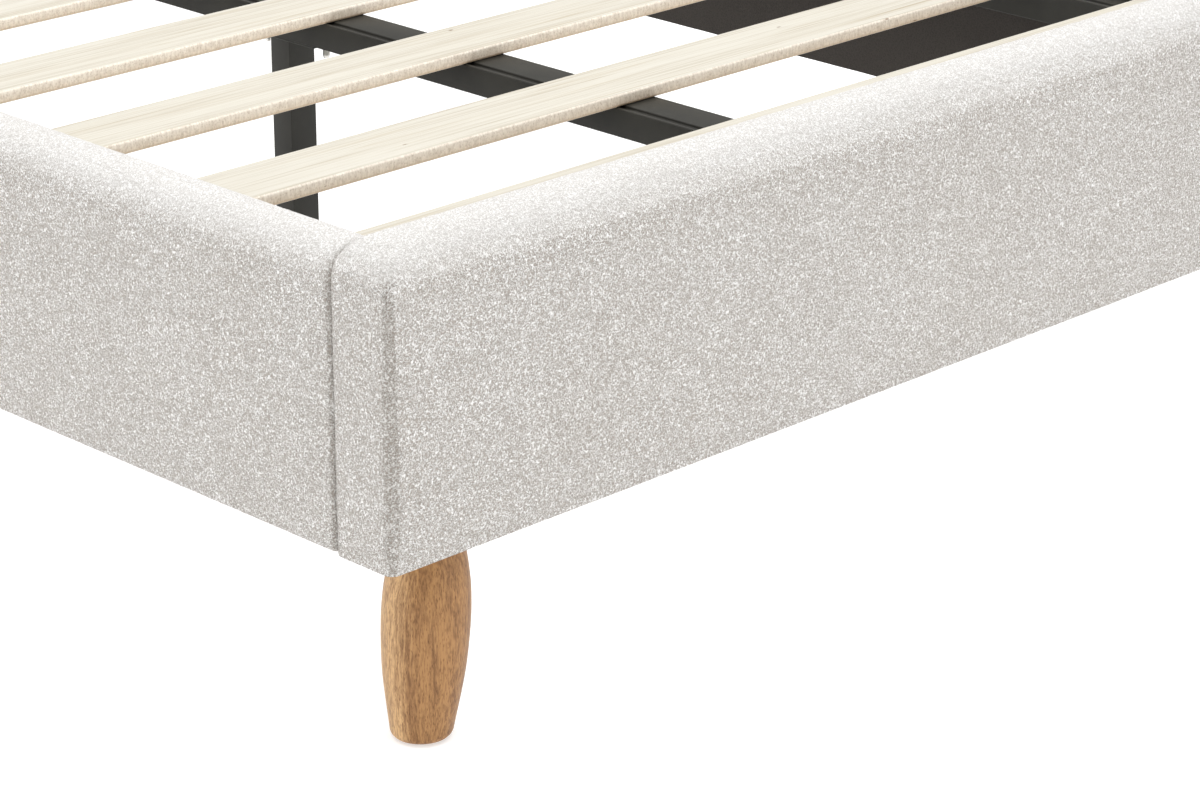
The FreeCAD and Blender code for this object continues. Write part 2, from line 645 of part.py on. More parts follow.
def centre_leg(number, centre):
    under_beam = DECK + " - beam_depth"
    flange_low = under_beam + " - plate_thick"
    post_low = "(pad_height + level_gap)"
    bolts, shanks, nuts = [], [], []
    for place, label in zip(flange_places(centre), "ab"):
        name = "flange_bolt_%d%s" % (number, label)
        shank, bolt = bolt_at(name, ("flange_bolt_side", place, under_beam + " + steel_wall"), "-Z",
                              "bolt_radius", "bolt_head",
                              "steel_wall + plate_thick + nut_height + flange_bolt_tail", "head_depth")
        ring = rod(name + "_nut", "nut_radius", "nut_height", ("flange_bolt_side", place, flange_low), "-Z")
        bolts.append(bolt)
        shanks.append(shank)
        nuts.append(cut(name + "_nut_ring", ring, [shank]))

    outer = rectangle("post_width", "post_depth")
    inner = rectangle("post_width - 2 * steel_wall", "post_depth - 2 * steel_wall",
                      ("steel_wall", "steel_wall"))
    post = padded("post_%d" % number, "XY", [outer, inner], "%s - %s" % (flange_low, post_low),
                  ("-post_width / 2", "%s - post_depth / 2" % centre, post_low))
    flange = box("flange_%d" % number, ("flange_width", "post_flange", "plate_thick"),
                 ("-flange_width / 2", "%s - post_flange / 2" % centre, flange_low))
    plug = box("plug_%d" % number,
               ("post_width - 2 * steel_wall", "post_depth - 2 * steel_wall", "plug_height"),
               ("steel_wall - post_width / 2", "%s + steel_wall - post_depth / 2" % centre, post_low))
    bore = rod("plug_bore_%d" % number, "stem_radius + stem_gap", "plug_height", ("0", centre, post_low))
    stem = rod("stem_%d" % number, "stem_radius", "stem_length", ("0", centre, "pad_height"))
    pad = rod("pad_%d" % number, "pad_radius", "pad_height", ("0", centre, "0"))
    welded = fuse("post_welded_%d" % number, [post, cut("flange_cut_%d" % number, flange, shanks)])
    keep(welded, "centre_leg_%d" % number)
    keep(stem, "levelling_stem_%d" % number)
    keep(pad, "levelling_pad_%d" % number)
    return {"bolts": bolts, "shanks": shanks, "nuts": nuts,
            "plugs": [cut("plug_cut_%d" % number, plug, [bore])]}


# Wooden legs.

def leg_circle(body, name, radius, drop, lean):
    sketch = sketch_on(body, "XY", name)
    bind(sketch, "AttachmentOffset.Base.x", "-leg_splay * %g" % lean)
    bind(sketch, "AttachmentOffset.Base.z", drop)
    sketch.addGeometry(Part.Circle(Vector(), Vector(0, 0, 1), 10), False)
    sketch.addConstraint(Sketcher.Constraint("Coincident", 0, 3, -1, 1))
    number = sketch.addConstraint(Sketcher.Constraint("Radius", 0, 10))
    sketch.renameConstraint(number, "radius")
    bind(sketch, "Constraints.radius", radius)
    return sketch


def turned_leg(bolts):
    """A turned leg with a soft belly and a narrower foot, leaning outwards."""
    body = doc.addObject("PartDesign::Body", "leg_turned")
    stations = [("leg_top", 0.0), ("leg_belly", 0.25), ("leg_middle", 0.6), ("leg_toe", 1.0)]
    rings = [leg_circle(body, "leg_ring_%d" % n, radius, "(glide_thick - leg_height) * %g" % part, part)
             for n, (radius, part) in enumerate(stations)]
    loft = body.newObject("PartDesign::AdditiveLoft", "leg_loft")
    loft.Profile = rings[0]
    loft.Sections = rings[1:]
    put(body, (LEFT + " + leg_inset_x", FOOT + " + leg_inset_y", BASE))
    doc.recompute()
    foot = [("Edge%d" % n) for n, edge in enumerate(loft.Shape.Edges, start=1)
            if near(edge.BoundBox.ZMax, loft.Shape.BoundBox.ZMin) and edge.Length > 1]
    fillet = body.newObject("PartDesign::Fillet", "leg_foot_round")
    fillet.Base = (loft, foot)
    bind(fillet, "Radius", "leg_edge")
    body.Tip = fillet
    doc.recompute()
    leg = keep(cut("leg", body, [bolts]), "foot_left_leg")
    keep(across("leg_right", leg), "foot_right_leg")
    head = keep(along_ends("leg_head", leg), "head_left_leg")
    keep(across("leg_head_right", head), "head_right_leg")


def along_ends(name, source):
    """A copy across the middle of the bed's whole length."""
    item = doc.addObject("Part::Mirroring", name)
    item.Source = source
    item.Normal = Vector(0, 1, 0)
    return item


def leg_sets(name, piece):
    """The piece at each of the four legs: one object, and the foot and head pairs."""
    foot = together(name + "_foot", [piece, across(name + "_foot_right", piece)])
    head = along_ends(name + "_head", foot)
    return together(name, [foot, head]), foot, head


def leg_fasteners():
    axis = (LEFT + " + leg_inset_x", FOOT + " + leg_inset_y")
    hanger = rod("leg_bolt", "hanger_radius", "hanger_up + hanger_down", axis + (BASE + " - hanger_down",))
    barrel = rod("leg_barrel", "tee_radius", "tee_height", axis + (BASE + " + cover_thick",))
    nut = cut("leg_nut", barrel, [hanger])
    glide = rod("leg_glide", "glide_radius", "glide_thick", (axis[0] + " - leg_splay", axis[1], "0"))
    bolts, foot_bolts, head_bolts = leg_sets("leg_bolts", hanger)
    _barrels, foot_barrels, head_barrels = leg_sets("leg_barrels", barrel)
    keep(bolts, "leg_hanger_bolts")
    keep(leg_sets("leg_nuts", nut)[0], "leg_tee_nuts")
    keep(leg_sets("leg_glides", glide)[0], "leg_glides")
    return hanger, (foot_bolts, foot_barrels), (head_bolts, head_barrels)


# The whole bed.

corner_set, corner_shanks, corner_pockets = corner_fasteners()
ledge_shanks = ledge_fasteners()
foot_screws, head_screws, beam_hole, beam_shanks = hanger_fasteners()
slat_screws, slat_shanks = slat_fasteners()
leg_hanger, foot_leg, head_leg = leg_fasteners()

rail = side_rail(corner_shanks, corner_pockets, ledge_shanks)
for layer, piece in rail.items():
    keep(piece, "left_rail_" + layer)
    keep(across("rail_right_" + layer, piece), "right_rail_" + layer)
footboard(corner_shanks, corner_pockets, foot_screws, *foot_leg)
headboard(corner_shanks, corner_pockets, head_screws, *head_leg)

centres = ["(%s + post_place)" % FOOT_INNER, "(%s - post_place)" % HEAD_FRONT]
leg_parts = [centre_leg(number, centre) for number, centre in enumerate(centres, start=1)]
flange = {kind: together("flange_" + kind, leg_parts[0][kind] + leg_parts[1][kind])
          for kind in leg_parts[0]}
keep(flange["bolts"], "flange_bolts")
keep(flange["nuts"], "flange_nuts")
keep(flange["plugs"], "centre_leg_plugs")

caps = centre_beam(beam_shanks, flange["shanks"]) + slat_ledge(ledge_shanks, slat_shanks)
keep(together("end_caps", caps), "tube_end_caps")
corner_brackets(corner_set)
beam_hanger(foot_screws, beam_hole)
slats(slat_screws)
turned_leg(leg_hanger)

doc.recompute()
for item in doc.Objects:
    if "Invalid" in item.State or "Error" in item.State:
        raise RuntimeError("%s did not compute: %s" % (item.Name, item.State))
os.makedirs("parts", exist_ok=True)
for item in nodes:
    if item.Shape.isNull() or not item.Shape.isValid():
        raise RuntimeError("%s has no valid shape" % item.Label)
for item in nodes:
    item.Shape.exportStep("parts/%s.step" % item.Label)
print("%d nodes, %d solids" % (len(nodes), sum(len(item.Shape.Solids) for item in nodes)))
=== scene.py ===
"""Upholstered platform bed with a headboard: its looks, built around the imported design."""
import json
import logging
import math
from dataclasses import dataclass
from enum import Enum
from functools import reduce
from typing import Iterable, Sequence

import bmesh
import bpy
import numpy as np
from mathutils import Matrix, Vector


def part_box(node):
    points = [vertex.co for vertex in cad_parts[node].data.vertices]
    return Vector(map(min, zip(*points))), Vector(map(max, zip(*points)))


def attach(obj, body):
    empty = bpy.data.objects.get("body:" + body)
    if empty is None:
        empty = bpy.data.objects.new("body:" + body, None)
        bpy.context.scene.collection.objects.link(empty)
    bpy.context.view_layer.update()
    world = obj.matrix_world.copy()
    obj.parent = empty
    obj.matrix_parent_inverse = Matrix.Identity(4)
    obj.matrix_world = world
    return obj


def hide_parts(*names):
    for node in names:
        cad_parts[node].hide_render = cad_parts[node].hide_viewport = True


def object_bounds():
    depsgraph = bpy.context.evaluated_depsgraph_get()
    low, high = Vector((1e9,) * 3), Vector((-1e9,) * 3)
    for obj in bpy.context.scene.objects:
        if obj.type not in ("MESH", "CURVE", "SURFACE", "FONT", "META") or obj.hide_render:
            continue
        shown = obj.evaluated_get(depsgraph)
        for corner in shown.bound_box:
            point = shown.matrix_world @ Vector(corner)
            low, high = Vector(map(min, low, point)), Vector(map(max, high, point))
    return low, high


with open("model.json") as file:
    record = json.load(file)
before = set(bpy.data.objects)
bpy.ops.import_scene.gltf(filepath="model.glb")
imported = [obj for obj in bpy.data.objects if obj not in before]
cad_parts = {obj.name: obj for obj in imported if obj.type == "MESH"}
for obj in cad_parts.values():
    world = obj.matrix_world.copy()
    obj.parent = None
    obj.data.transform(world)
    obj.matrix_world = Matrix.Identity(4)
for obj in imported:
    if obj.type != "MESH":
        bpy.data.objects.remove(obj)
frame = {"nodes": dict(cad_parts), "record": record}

logging.basicConfig(level=logging.INFO, format="%(message)s")
log = logging.getLogger("bed")

MM = 0.001
FRAME_BODY = "frame"
CAD_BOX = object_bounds()
UP = Vector((0, 0, 1))
CREASE_DEGREES = 60.0
SAME_PLACE = 0.001 * MM
BLACK, WHITE = (0, 0, 0), (1, 1, 1)
Socket = bpy.types.NodeSocket
Mesh = bmesh.types.BMesh
Vertex = bmesh.types.BMVert
Piece = bpy.types.Object
Outline = Sequence[tuple[float, float]]


class Axis(Enum):
    """The three row axes, as vector indices."""

    X = 0
    Y = 1
    Z = 2


class Side(Enum):
    """The two sides of the bed, as signs along X."""

    LEFT = -1
    RIGHT = 1


# ------------------------------ finishes

class Shader:
    """Builds one procedural material on a Principled shader."""

    def __init__(self, name: str, **constants: float | tuple) -> None:
        """Start a material.

        Args:
            name: The material's name.
            constants: Principled inputs by name, with underscores for spaces.
        """
        self.material = bpy.data.materials.new(name)
        self.material.use_nodes = True
        self.nodes = self.material.node_tree.nodes
        self.links = self.material.node_tree.links
        self.surface = next(n for n in self.nodes if n.type == "BSDF_PRINCIPLED")
        for key, value in constants.items():
            self.surface.inputs[key.replace("_", " ")].default_value = value
        self.place = self.nodes.new("ShaderNodeTexCoord")
        self.coords = self.place.outputs["Object"]

    def add(self, kind: str, inputs: dict, **settings: object) -> bpy.types.Node:
        """Add a node.

        Args:
            kind: The node's type, without its ShaderNode prefix.
            inputs: Values, or sockets to link from, by input name or number.
            settings: The node's own settings.

        Returns:
            The new node.
        """
        node = self.nodes.new("ShaderNode" + kind)
        for key, value in settings.items():
            setattr(node, key, value)
        for key, value in inputs.items():
            if isinstance(value, Socket):
                self.links.new(value, node.inputs[key])
            else:
                node.inputs[key].default_value = value
        return node

    def axes(self, name: str) -> Sequence[Socket]:
        """The three parts of a texture coordinate."""
        return self.add("SeparateXYZ", {0: self.place.outputs[name]}).outputs

    def noise(self, scale: float, detail: float = 2.0, roughness: float = 0.5,
              at: Socket | None = None) -> Socket:
        """A noise texture's factor, in cells to the metre."""
        inputs = {"Vector": at or self.coords, "Scale": scale, "Detail": detail, "Roughness": roughness}
        return self.add("TexNoise", inputs).outputs[0]

    def cells(self, scale: float, at: Socket | None = None) -> Socket:
        """A Voronoi texture's distance, in cells to the metre."""
        return self.add("TexVoronoi", {"Vector": at or self.coords, "Scale": scale}).outputs["Distance"]

    def scaled(self, scale: Sequence[float], source: Socket | None = None) -> Socket:
        """Coordinates stretched by a scale along each axis."""
        return self.add("Mapping", {"Vector": source or self.coords, "Scale": tuple(scale)}).outputs[0]

    def streaks(self, scale: Sequence[float], detail: float, roughness: float,
                source: Socket | None = None) -> Socket:
        """Noise with its own number of cells to the metre along each axis."""
        return self.noise(1.0, detail, roughness, self.scaled(scale, source))

    def ramp(self, factor: Socket, stops: Sequence[tuple[float, Sequence[float]]],
             smooth: bool = False) -> Socket:
        """A colour ramp.

        Args:
            factor: The socket that drives it.
            stops: Pairs of position and RGB colour.
            smooth: Eases between the stops.

        Returns:
            The ramp's colour output.
        """
        node = self.add("ValToRGB", {0: factor})
        if smooth:
            node.color_ramp.interpolation = "EASE"
        elements = node.color_ramp.elements
        while len(elements) < len(stops):
            elements.new(0.5)
        for element, (position, colour) in zip(elements, stops):
            element.position = position
            element.color = (*colour, 1.0)
        return node.outputs[0]

    def math(self, operation: str, *values: object, clamp: bool = False) -> Socket:
        """A math node's output."""
        return self.add("Math", dict(enumerate(values)), operation=operation, use_clamp=clamp).outputs[0]

    def weighted(self, *terms: tuple[Socket, float]) -> Socket:
        """The sum of sockets, each times its share."""
        products = [self.math("MULTIPLY", socket, share) for socket, share in terms]
        return reduce(lambda total, product: self.math("ADD", total, product), products)

    def lines(self, factor: Socket, sharpness: float) -> Socket:
        """Dark lines where a factor passes its middle."""
        distance = self.math("ABSOLUTE", self.math("SUBTRACT", factor, 0.5))
        return self.math("MULTIPLY", distance, sharpness, clamp=True)

    def mixed(self, factor: object, first: object, second: object, blend: str = "MIX") -> Socket:
        """A colour mix's output."""
        return self.add("MixRGB", {0: factor, 1: first, 2: second}, blend_type=blend).outputs[0]

    def tinted(self, tone: Socket, tint: object, factor: object = 1.0) -> Socket:
        """A colour times another, as far as the factor says."""
        return self.mixed(factor, tone, tint, "MULTIPLY")

    def warped(self, scale: float, reach: float) -> Socket:
        """Object coordinates pushed about by noise, reach metres at most."""
        swirl = self.add("TexNoise", {"Vector": self.coords, "Scale": scale, "Detail": 1.0}).outputs["Color"]
        centred = self.add("VectorMath", {0: swirl, 1: (0.5, 0.5, 0.5)}, operation="SUBTRACT").outputs[0]
        push = self.add("VectorMath", {0: centred, "Scale": reach * 2}, operation="SCALE").outputs[0]
        return self.add("VectorMath", {0: self.coords, 1: push}, operation="ADD").outputs[0]

    def relief(self, height: Socket, depth: float, strength: object = 1.0) -> None:
        """Bump the surface by a height, depth metres deep; the strength may be a socket."""
        bump = self.add("Bump", {"Height": height, "Distance": depth, "Strength": strength})
        self.links.new(bump.outputs[0], self.surface.inputs["Normal"])

    def colour(self, socket: Socket) -> None:
        """Drive the base colour."""
        self.links.new(socket, self.surface.inputs["Base Color"])

    def roughness(self, socket: Socket, low: float, high: float) -> None:
        """Drive the roughness between two values."""
        inputs = {"Value": socket, "To Min": low, "To Max": high}
        self.links.new(self.add("MapRange", inputs).outputs[0], self.surface.inputs["Roughness"])


@dataclass(frozen=True)
class CurlyPile:
    """Off-white fabric with a short pile of tight curls."""

    curls_per_metre: float = 700.0
    twist: float = 1.4 * MM
    arc_sharpness: float = 11.0
    # The darkest and brightest curl colours are painted shade in the hollows between curls and a painted
    # highlight on the curl tips.
    gap_shade: tuple = (0.38, 0.345, 0.312)
    body: tuple = (0.865, 0.848, 0.826)
    tip_highlight: tuple = (0.985, 0.98, 0.973)
    # Painted shade on the upward faces: a darker tone that holds back the overhead light there.
    painted_top_shade: tuple = (0.44, 0.437, 0.431)
    # Painted shade along the rounded upright corners, where the faces turn.
    painted_corner_shade: tuple = (0.80, 0.79, 0.775)
    patch: tuple = (0.965, 0.96, 0.953)
    # How much painted shade goes into the upward faces, and how much flatter their bump is.
    top_shade_and_flattening: float = 0.62
    depth: float = 1.2 * MM

    def material(self) -> bpy.types.Material:
        """The pile's material."""
        shader = Shader("curly pile", Roughness=0.95, Specular_IOR_Level=0.10,
                        Sheen_Weight=0.2, Sheen_Roughness=0.5)
        twisted = shader.warped(self.curls_per_metre * 0.7, self.twist)
        swirls = shader.noise(self.curls_per_metre * 0.8, 0.0, 0.5, twisted)
        arcs = shader.math("SUBTRACT", 1.0, shader.lines(swirls, self.arc_sharpness))
        knots = shader.math("SUBTRACT", 1.0, shader.cells(self.curls_per_metre * 1.25, twisted))
        fuzz = shader.noise(self.curls_per_metre * 2.2, 2.0, 0.6)
        height = shader.weighted((arcs, 0.38), (knots, 0.46), (fuzz, 0.20))
        # The curl height picks the colour: painted shade in the hollows, a painted highlight on the tips.
        tone = shader.ramp(height, [(0.33, self.gap_shade), (0.49, self.body), (0.74, self.tip_highlight)])
        across, along, upward = shader.axes("Normal")
        # Painted shade where the normal points between X and Y, at the rounded upright corners, broken up by
        # noise.
        at_turn = shader.math("ABSOLUTE", shader.math("MULTIPLY", across, along))
        at_turn = shader.weighted((at_turn, 1.0), (shader.noise(120.0, 2.0), 0.30))
        painted_corner_shade = shader.ramp(at_turn, [(0.20, WHITE), (0.58, self.painted_corner_shade)])
        on_top = shader.ramp(upward, [(0.15, BLACK), (0.75, WHITE)])
        # Painted shade mixed into the upward faces.
        tone = shader.mixed(shader.math("MULTIPLY", on_top, self.top_shade_and_flattening), tone, (*self.painted_top_shade, 1.0))
        patches = shader.ramp(shader.noise(14.0, 3.0), [(0.3, self.patch), (0.7, WHITE)])
        shader.colour(shader.tinted(shader.tinted(tone, painted_corner_shade), patches))
        shader.relief(height, self.depth, shader.math("MULTIPLY_ADD", on_top, -self.top_shade_and_flattening, 0.95))
        return shader.material


@dataclass(frozen=True)
class LiningCloth:
    """Black non-woven cloth with a fine pressed dot pattern."""

    dots_per_metre: float = 520.0
    fibre: tuple = (0.055, 0.047, 0.041)
    fibre_gap: tuple = (0.020, 0.017, 0.015)
    raised: tuple = (0.045, 0.039, 0.034)
    dot: tuple = (0.018, 0.015, 0.013)

    def material(self) -> bpy.types.Material:
        """The cloth's material."""
        shader = Shader("black lining", Roughness=0.88, Specular_IOR_Level=0.25, Sheen_Weight=0.08)
        fibres = shader.noise(900.0, 4.0, 0.65)
        dots = shader.cells(self.dots_per_metre)
        shader.colour(shader.mixed(0.5, shader.ramp(fibres, [(0.3, self.fibre_gap), (0.75, self.fibre)]),
                                   shader.ramp(dots, [(0.0, self.dot), (0.5, self.raised)])))
        shader.relief(shader.math("ADD", fibres, dots), 0.25 * MM, 0.6)
        return shader.material


@dataclass(frozen=True)
class PaleSlat:
    """Raw pale laminated wood: a planed face and sawn edges."""

    face_light: tuple = (0.497, 0.474, 0.416)
    face_dark: tuple = (0.37, 0.33, 0.262)
    ring: tuple = (0.86, 0.81, 0.73)
    ring_sharpness: float = 22.0
    edge_light: tuple = (0.88, 0.82, 0.72)
    edge_dark: tuple = (0.52, 0.43, 0.335)
    low_tint: tuple = (0.86, 0.79, 0.70)
    glue_line: tuple = (0.50, 0.35, 0.20)
    speck: tuple = (0.30, 0.20, 0.13)
    thickness: float = 11 * MM

    def material(self) -> bpy.types.Material:
        """The slat's material, with its grain along X."""
        shader = Shader("pale slat", Roughness=0.62, Specular_IOR_Level=0.3)
        grain = shader.streaks((5.0, 620.0, 90.0), 4.0, 0.7)
        saw = shader.streaks((420.0, 60.0, 150.0), 3.0, 0.7)
        sawn = shader.ramp(shader.math("ABSOLUTE", shader.axes("Normal")[1]), [(0.45, BLACK), (0.8, WHITE)])
        tone = shader.mixed(sawn, self.face(shader, grain), self.edge(shader, saw))
        marks = shader.cells(34.0, shader.scaled((0.45, 1.0, 2.2)))
        marks = shader.weighted((marks, 1.0), (shader.noise(600.0, 2.0), 0.05))
        shader.colour(shader.tinted(tone, shader.ramp(marks, [(0.045, self.speck), (0.075, WHITE)])))
        shader.relief(shader.mixed(sawn, grain, saw), 0.25 * MM, 0.55)
        return shader.material

    def face(self, shader: Shader, grain: Socket) -> Socket:
        """The planed face's colour, with fine dark rings."""
        bands = shader.streaks((1.2, 70.0, 8.0), 2.0, 0.5)
        tone = shader.ramp(shader.weighted((grain, 0.75), (bands, 0.25)),
                           [(0.36, self.face_dark), (0.52, self.face_light)])
        rings = shader.lines(shader.streaks((1.6, 210.0, 25.0), 1.0, 0.5), self.ring_sharpness)
        return shader.tinted(tone, shader.ramp(rings, [(0.0, self.ring), (0.55, WHITE)]))

    def edge(self, shader: Shader, saw: Socket) -> Socket:
        """The sawn edge's colour, darker and glued near its bottom."""
        tone = shader.ramp(saw, [(0.33, self.edge_dark), (0.66, self.edge_light)])
        pores = shader.ramp(shader.cells(520.0), [(0.05, self.edge_dark), (0.5, self.edge_light)])
        above = shader.math("SUBTRACT", shader.axes("Object")[2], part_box("slat_01")[0].z)
        level = shader.math("MULTIPLY", above, 1.0 / self.thickness)
        tone = shader.tinted(shader.mixed(0.45, tone, pores),
                             shader.ramp(level, [(0.1, self.low_tint), (0.9, WHITE)]))
        glued = shader.ramp(level, [(0.16, WHITE), (0.24, BLACK)])
        return shader.mixed(shader.math("MULTIPLY", glued, 0.5), tone, (*self.glue_line, 1.0))


@dataclass(frozen=True)
class TurnedWood:
    """Satin lacquered pale brown wood with upright grain and open pores."""

    light: tuple = (0.400, 0.206, 0.073)
    dark: tuple = (0.180, 0.078, 0.024)
    # Painted light: brightens the side of each leg that faces the left fill light.
    painted_lit_side_tint: tuple = (1.60, 1.92, 2.50)
    lit_side: tuple = (-0.75, 0.66, 0.0)
    pore: tuple = (0.50, 0.40, 0.31)

    def material(self) -> bpy.types.Material:
        """The wood's material, with its grain along Z and painted light down the side that faces the left
        fill light.
        """
        shader = Shader("turned wood", Specular_IOR_Level=0.35, Coat_Weight=0.08, Coat_Roughness=0.35)
        streaks = shader.streaks((150.0, 150.0, 6.0), 4.0, 0.6, shader.warped(22.0, 3.0 * MM))
        fine = shader.streaks((820.0, 820.0, 110.0), 3.0, 0.65)
        grain = shader.weighted((streaks, 0.36), (fine, 0.64))
        middle = tuple((a + b) / 2 for a, b in zip(self.light, self.dark))
        tone = shader.ramp(grain, [(0.37, self.dark), (0.48, middle), (0.57, self.light)])
        # Painted light on the leg's side towards the left fill, its edge broken up by the grain streaks.
        facing = {0: shader.place.outputs["Normal"], 1: self.lit_side}
        facing = shader.add("VectorMath", facing, operation="DOT_PRODUCT").outputs["Value"]
        facing = shader.weighted((facing, 1.0), (shader.math("SUBTRACT", streaks, 0.5), 0.9))
        lit_side_mask = shader.ramp(facing, [(0.20, BLACK), (0.80, WHITE)], smooth=True)
        tone = shader.mixed(lit_side_mask, tone, shader.tinted(tone, (*self.painted_lit_side_tint, 1.0)))
        pores = shader.cells(1.0, shader.scaled((900.0, 900.0, 210.0)))
        scarce = shader.math("LESS_THAN", shader.noise(150.0, 1.0), 0.60)
        open_pores = shader.ramp(pores, [(0.16, self.pore), (0.34, WHITE)])
        shader.colour(shader.tinted(tone, open_pores, shader.math("MULTIPLY", scarce, 0.8)))
        shader.roughness(grain, 0.55, 0.44)
        shader.relief(shader.weighted((fine, 1.0), (pores, 0.5)), 0.20 * MM, 0.6)
        return shader.material


@dataclass(frozen=True)
class PowderCoat:
    """Satin black powder coat."""

    tone: tuple = (0.0225, 0.0215, 0.0175)

    def material(self) -> bpy.types.Material:
        """The coat's material."""
        shader = Shader("black powder coat", Specular_IOR_Level=0.22)
        wear = shader.noise(22.0, 5.0, 0.6)
        dark, light = (tuple(share * c for c in self.tone) for share in (0.8, 1.25))
        shader.colour(shader.ramp(wear, [(0.35, dark), (0.7, light)]))
        shader.roughness(wear, 0.38, 0.52)
        shader.relief(shader.noise(1400.0), 0.06 * MM, 0.35)
        return shader.material


@dataclass(frozen=True)
class ZincPlate:
    """Bright zinc plate on small hardware."""

    light: tuple = (0.80, 0.79, 0.75)
    dark: tuple = (0.52, 0.50, 0.46)

    def material(self) -> bpy.types.Material:
        """The plate's material."""
        shader = Shader("zinc plate", Metallic=1.0)
        bloom = shader.noise(260.0, 4.0, 0.6)
        shader.colour(shader.ramp(bloom, [(0.3, self.dark), (0.7, self.light)]))
        shader.roughness(bloom, 0.26, 0.42)
        shader.relief(shader.noise(1800.0), 0.03 * MM, 0.3)
        return shader.material


@dataclass(frozen=True)
class MouldedPlastic:
    """Black moulded plastic with a fine spark texture."""

    light: tuple = (0.026, 0.026, 0.027)
    dark: tuple = (0.014, 0.014, 0.015)

    def material(self) -> bpy.types.Material:
        """The plastic's material."""
        shader = Shader("black plastic", Specular_IOR_Level=0.4)
        spark = shader.noise(2200.0)
        shader.colour(shader.ramp(shader.noise(40.0, 3.0), [(0.3, self.dark), (0.7, self.light)]))
        shader.roughness(spark, 0.45, 0.60)
        shader.relief(spark, 0.05 * MM, 0.5)
        return shader.material


@dataclass(frozen=True)
class Granular:
    """A raw inner material: foam, board or hardboard."""

    name: str
    light: tuple
    dark: tuple
    grains_per_metre: float
    stretch: tuple = (1.0, 1.0, 1.0)

    def material(self) -> bpy.types.Material:
        """The inner material."""
        shader = Shader(self.name, Roughness=0.9, Specular_IOR_Level=0.2)
        grain = shader.noise(self.grains_per_metre, 4.0, 0.6, shader.scaled(self.stretch))
        shader.colour(shader.ramp(grain, [(0.35, self.dark), (0.65, self.light)]))
        shader.relief(grain, 0.3 * MM, 0.5)
        return shader.material


class Finishes:
    """Every finish of the bed, made once."""

    def __init__(self) -> None:
        """Make each finish's material."""
        self.pile = CurlyPile().material()
        self.lining = LiningCloth().material()
        self.slat = PaleSlat().material()
        self.leg = TurnedWood().material()
        self.steel = PowderCoat().material()
        self.zinc = ZincPlate().material()
        self.plastic = MouldedPlastic().material()
        self.foam = Granular("foam", (0.78, 0.72, 0.55), (0.66, 0.59, 0.42), 700.0).material()
        self.board = Granular("engineered board", (0.62, 0.46, 0.29), (0.44, 0.30, 0.17), 60.0,
                              (1.0, 1.0, 3.0)).material()
        self.hardboard = Granular("hardboard", (0.25, 0.15, 0.09), (0.17, 0.10, 0.055), 500.0).material()


# ------------------------------ mesh helpers

def piece_from(name: str, mesh: Mesh, finish: bpy.types.Material, body: str = FRAME_BODY,
               sharp_degrees: float = 35.0) -> Piece:
    """Turn a bmesh into a finished piece that rides on a body.

    Args:
        name: The piece's name.
        mesh: Its bmesh, which is freed.
        finish: Its material.
        body: The body it rides on.
        sharp_degrees: Edges that turn more than this stay crisp.

    Returns:
        The new object, at the origin, with its place in its mesh.
    """
    data = bpy.data.meshes.new(name)
    mesh.to_mesh(data)
    mesh.free()
    data.materials.append(finish)
    piece = bpy.data.objects.new(name, data)
    bpy.context.scene.collection.objects.link(piece)
    data.shade_smooth()
    data.set_sharp_from_angle(angle=math.radians(sharp_degrees))
    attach(piece, body)
    return piece


def stand_for(piece: Piece, slot: str, *nodes: str) -> Piece:
    """Let a piece stand for design nodes, which are hidden."""
    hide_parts(*nodes)
    log.info("%s stands for %s", piece.name, ", ".join(nodes))
    return piece


def block(mesh: Mesh, low: Vector, high: Vector) -> list[Vertex]:
    """Add a box between two corners and return its vertices."""
    made = bmesh.ops.create_cube(mesh, size=1.0)["verts"]
    bmesh.ops.scale(mesh, vec=high - low, verts=made)
    bmesh.ops.translate(mesh, vec=(low + high) / 2, verts=made)
    return made


def prism(mesh: Mesh, sides: int, radius: float, depth: float, middle: float = 0.0) -> list[Vertex]:
    """Add an upright prism on the Z axis and return its vertices."""
    return bmesh.ops.create_cone(mesh, cap_ends=True, segments=sides, radius1=radius, radius2=radius,
                                 depth=depth, matrix=Matrix.Translation(UP * middle))["verts"]


def soften(mesh: Mesh, edges: Iterable[bmesh.types.BMEdge], radius: float, segments: int = 3) -> set[Vertex]:
    """Round edges by a radius and return the vertices of their new faces."""
    rounded = bmesh.ops.bevel(mesh, geom=list(edges), offset=radius, segments=segments, profile=0.5,
                              affect="EDGES", material=-1, clamp_overlap=True)
    return {vertex for face in rounded["faces"] for vertex in face.verts}


def cut_across(mesh: Mesh, axis: Axis, place: float, near: float) -> None:
    """Cut a mesh at one place along an axis, by way of its own points where they are near."""
    normal, point = Vector(), Vector()
    normal[axis.value], point[axis.value] = 1.0, place
    bmesh.ops.bisect_plane(mesh, geom=list(mesh.verts) + list(mesh.edges) + list(mesh.faces),
                           dist=near, plane_co=point, plane_no=normal)


def stood_at(mesh: Mesh, low: Vector, high: Vector) -> Mesh:
    """Move a mesh from the origin to the middle of a box's bottom."""
    bmesh.ops.translate(mesh, vec=((low.x + high.x) / 2, (low.y + high.y) / 2, low.z), verts=mesh.verts)
    return mesh


def sharp_edges(mesh: Mesh, degrees: float, shortest: float = 0.0) -> list[bmesh.types.BMEdge]:
    """The edges that turn more than an angle and are at least so long."""
    return [edge for edge in mesh.edges if len(edge.link_faces) == 2 and edge.calc_length() >= shortest
            and edge.calc_face_angle() > math.radians(degrees)]


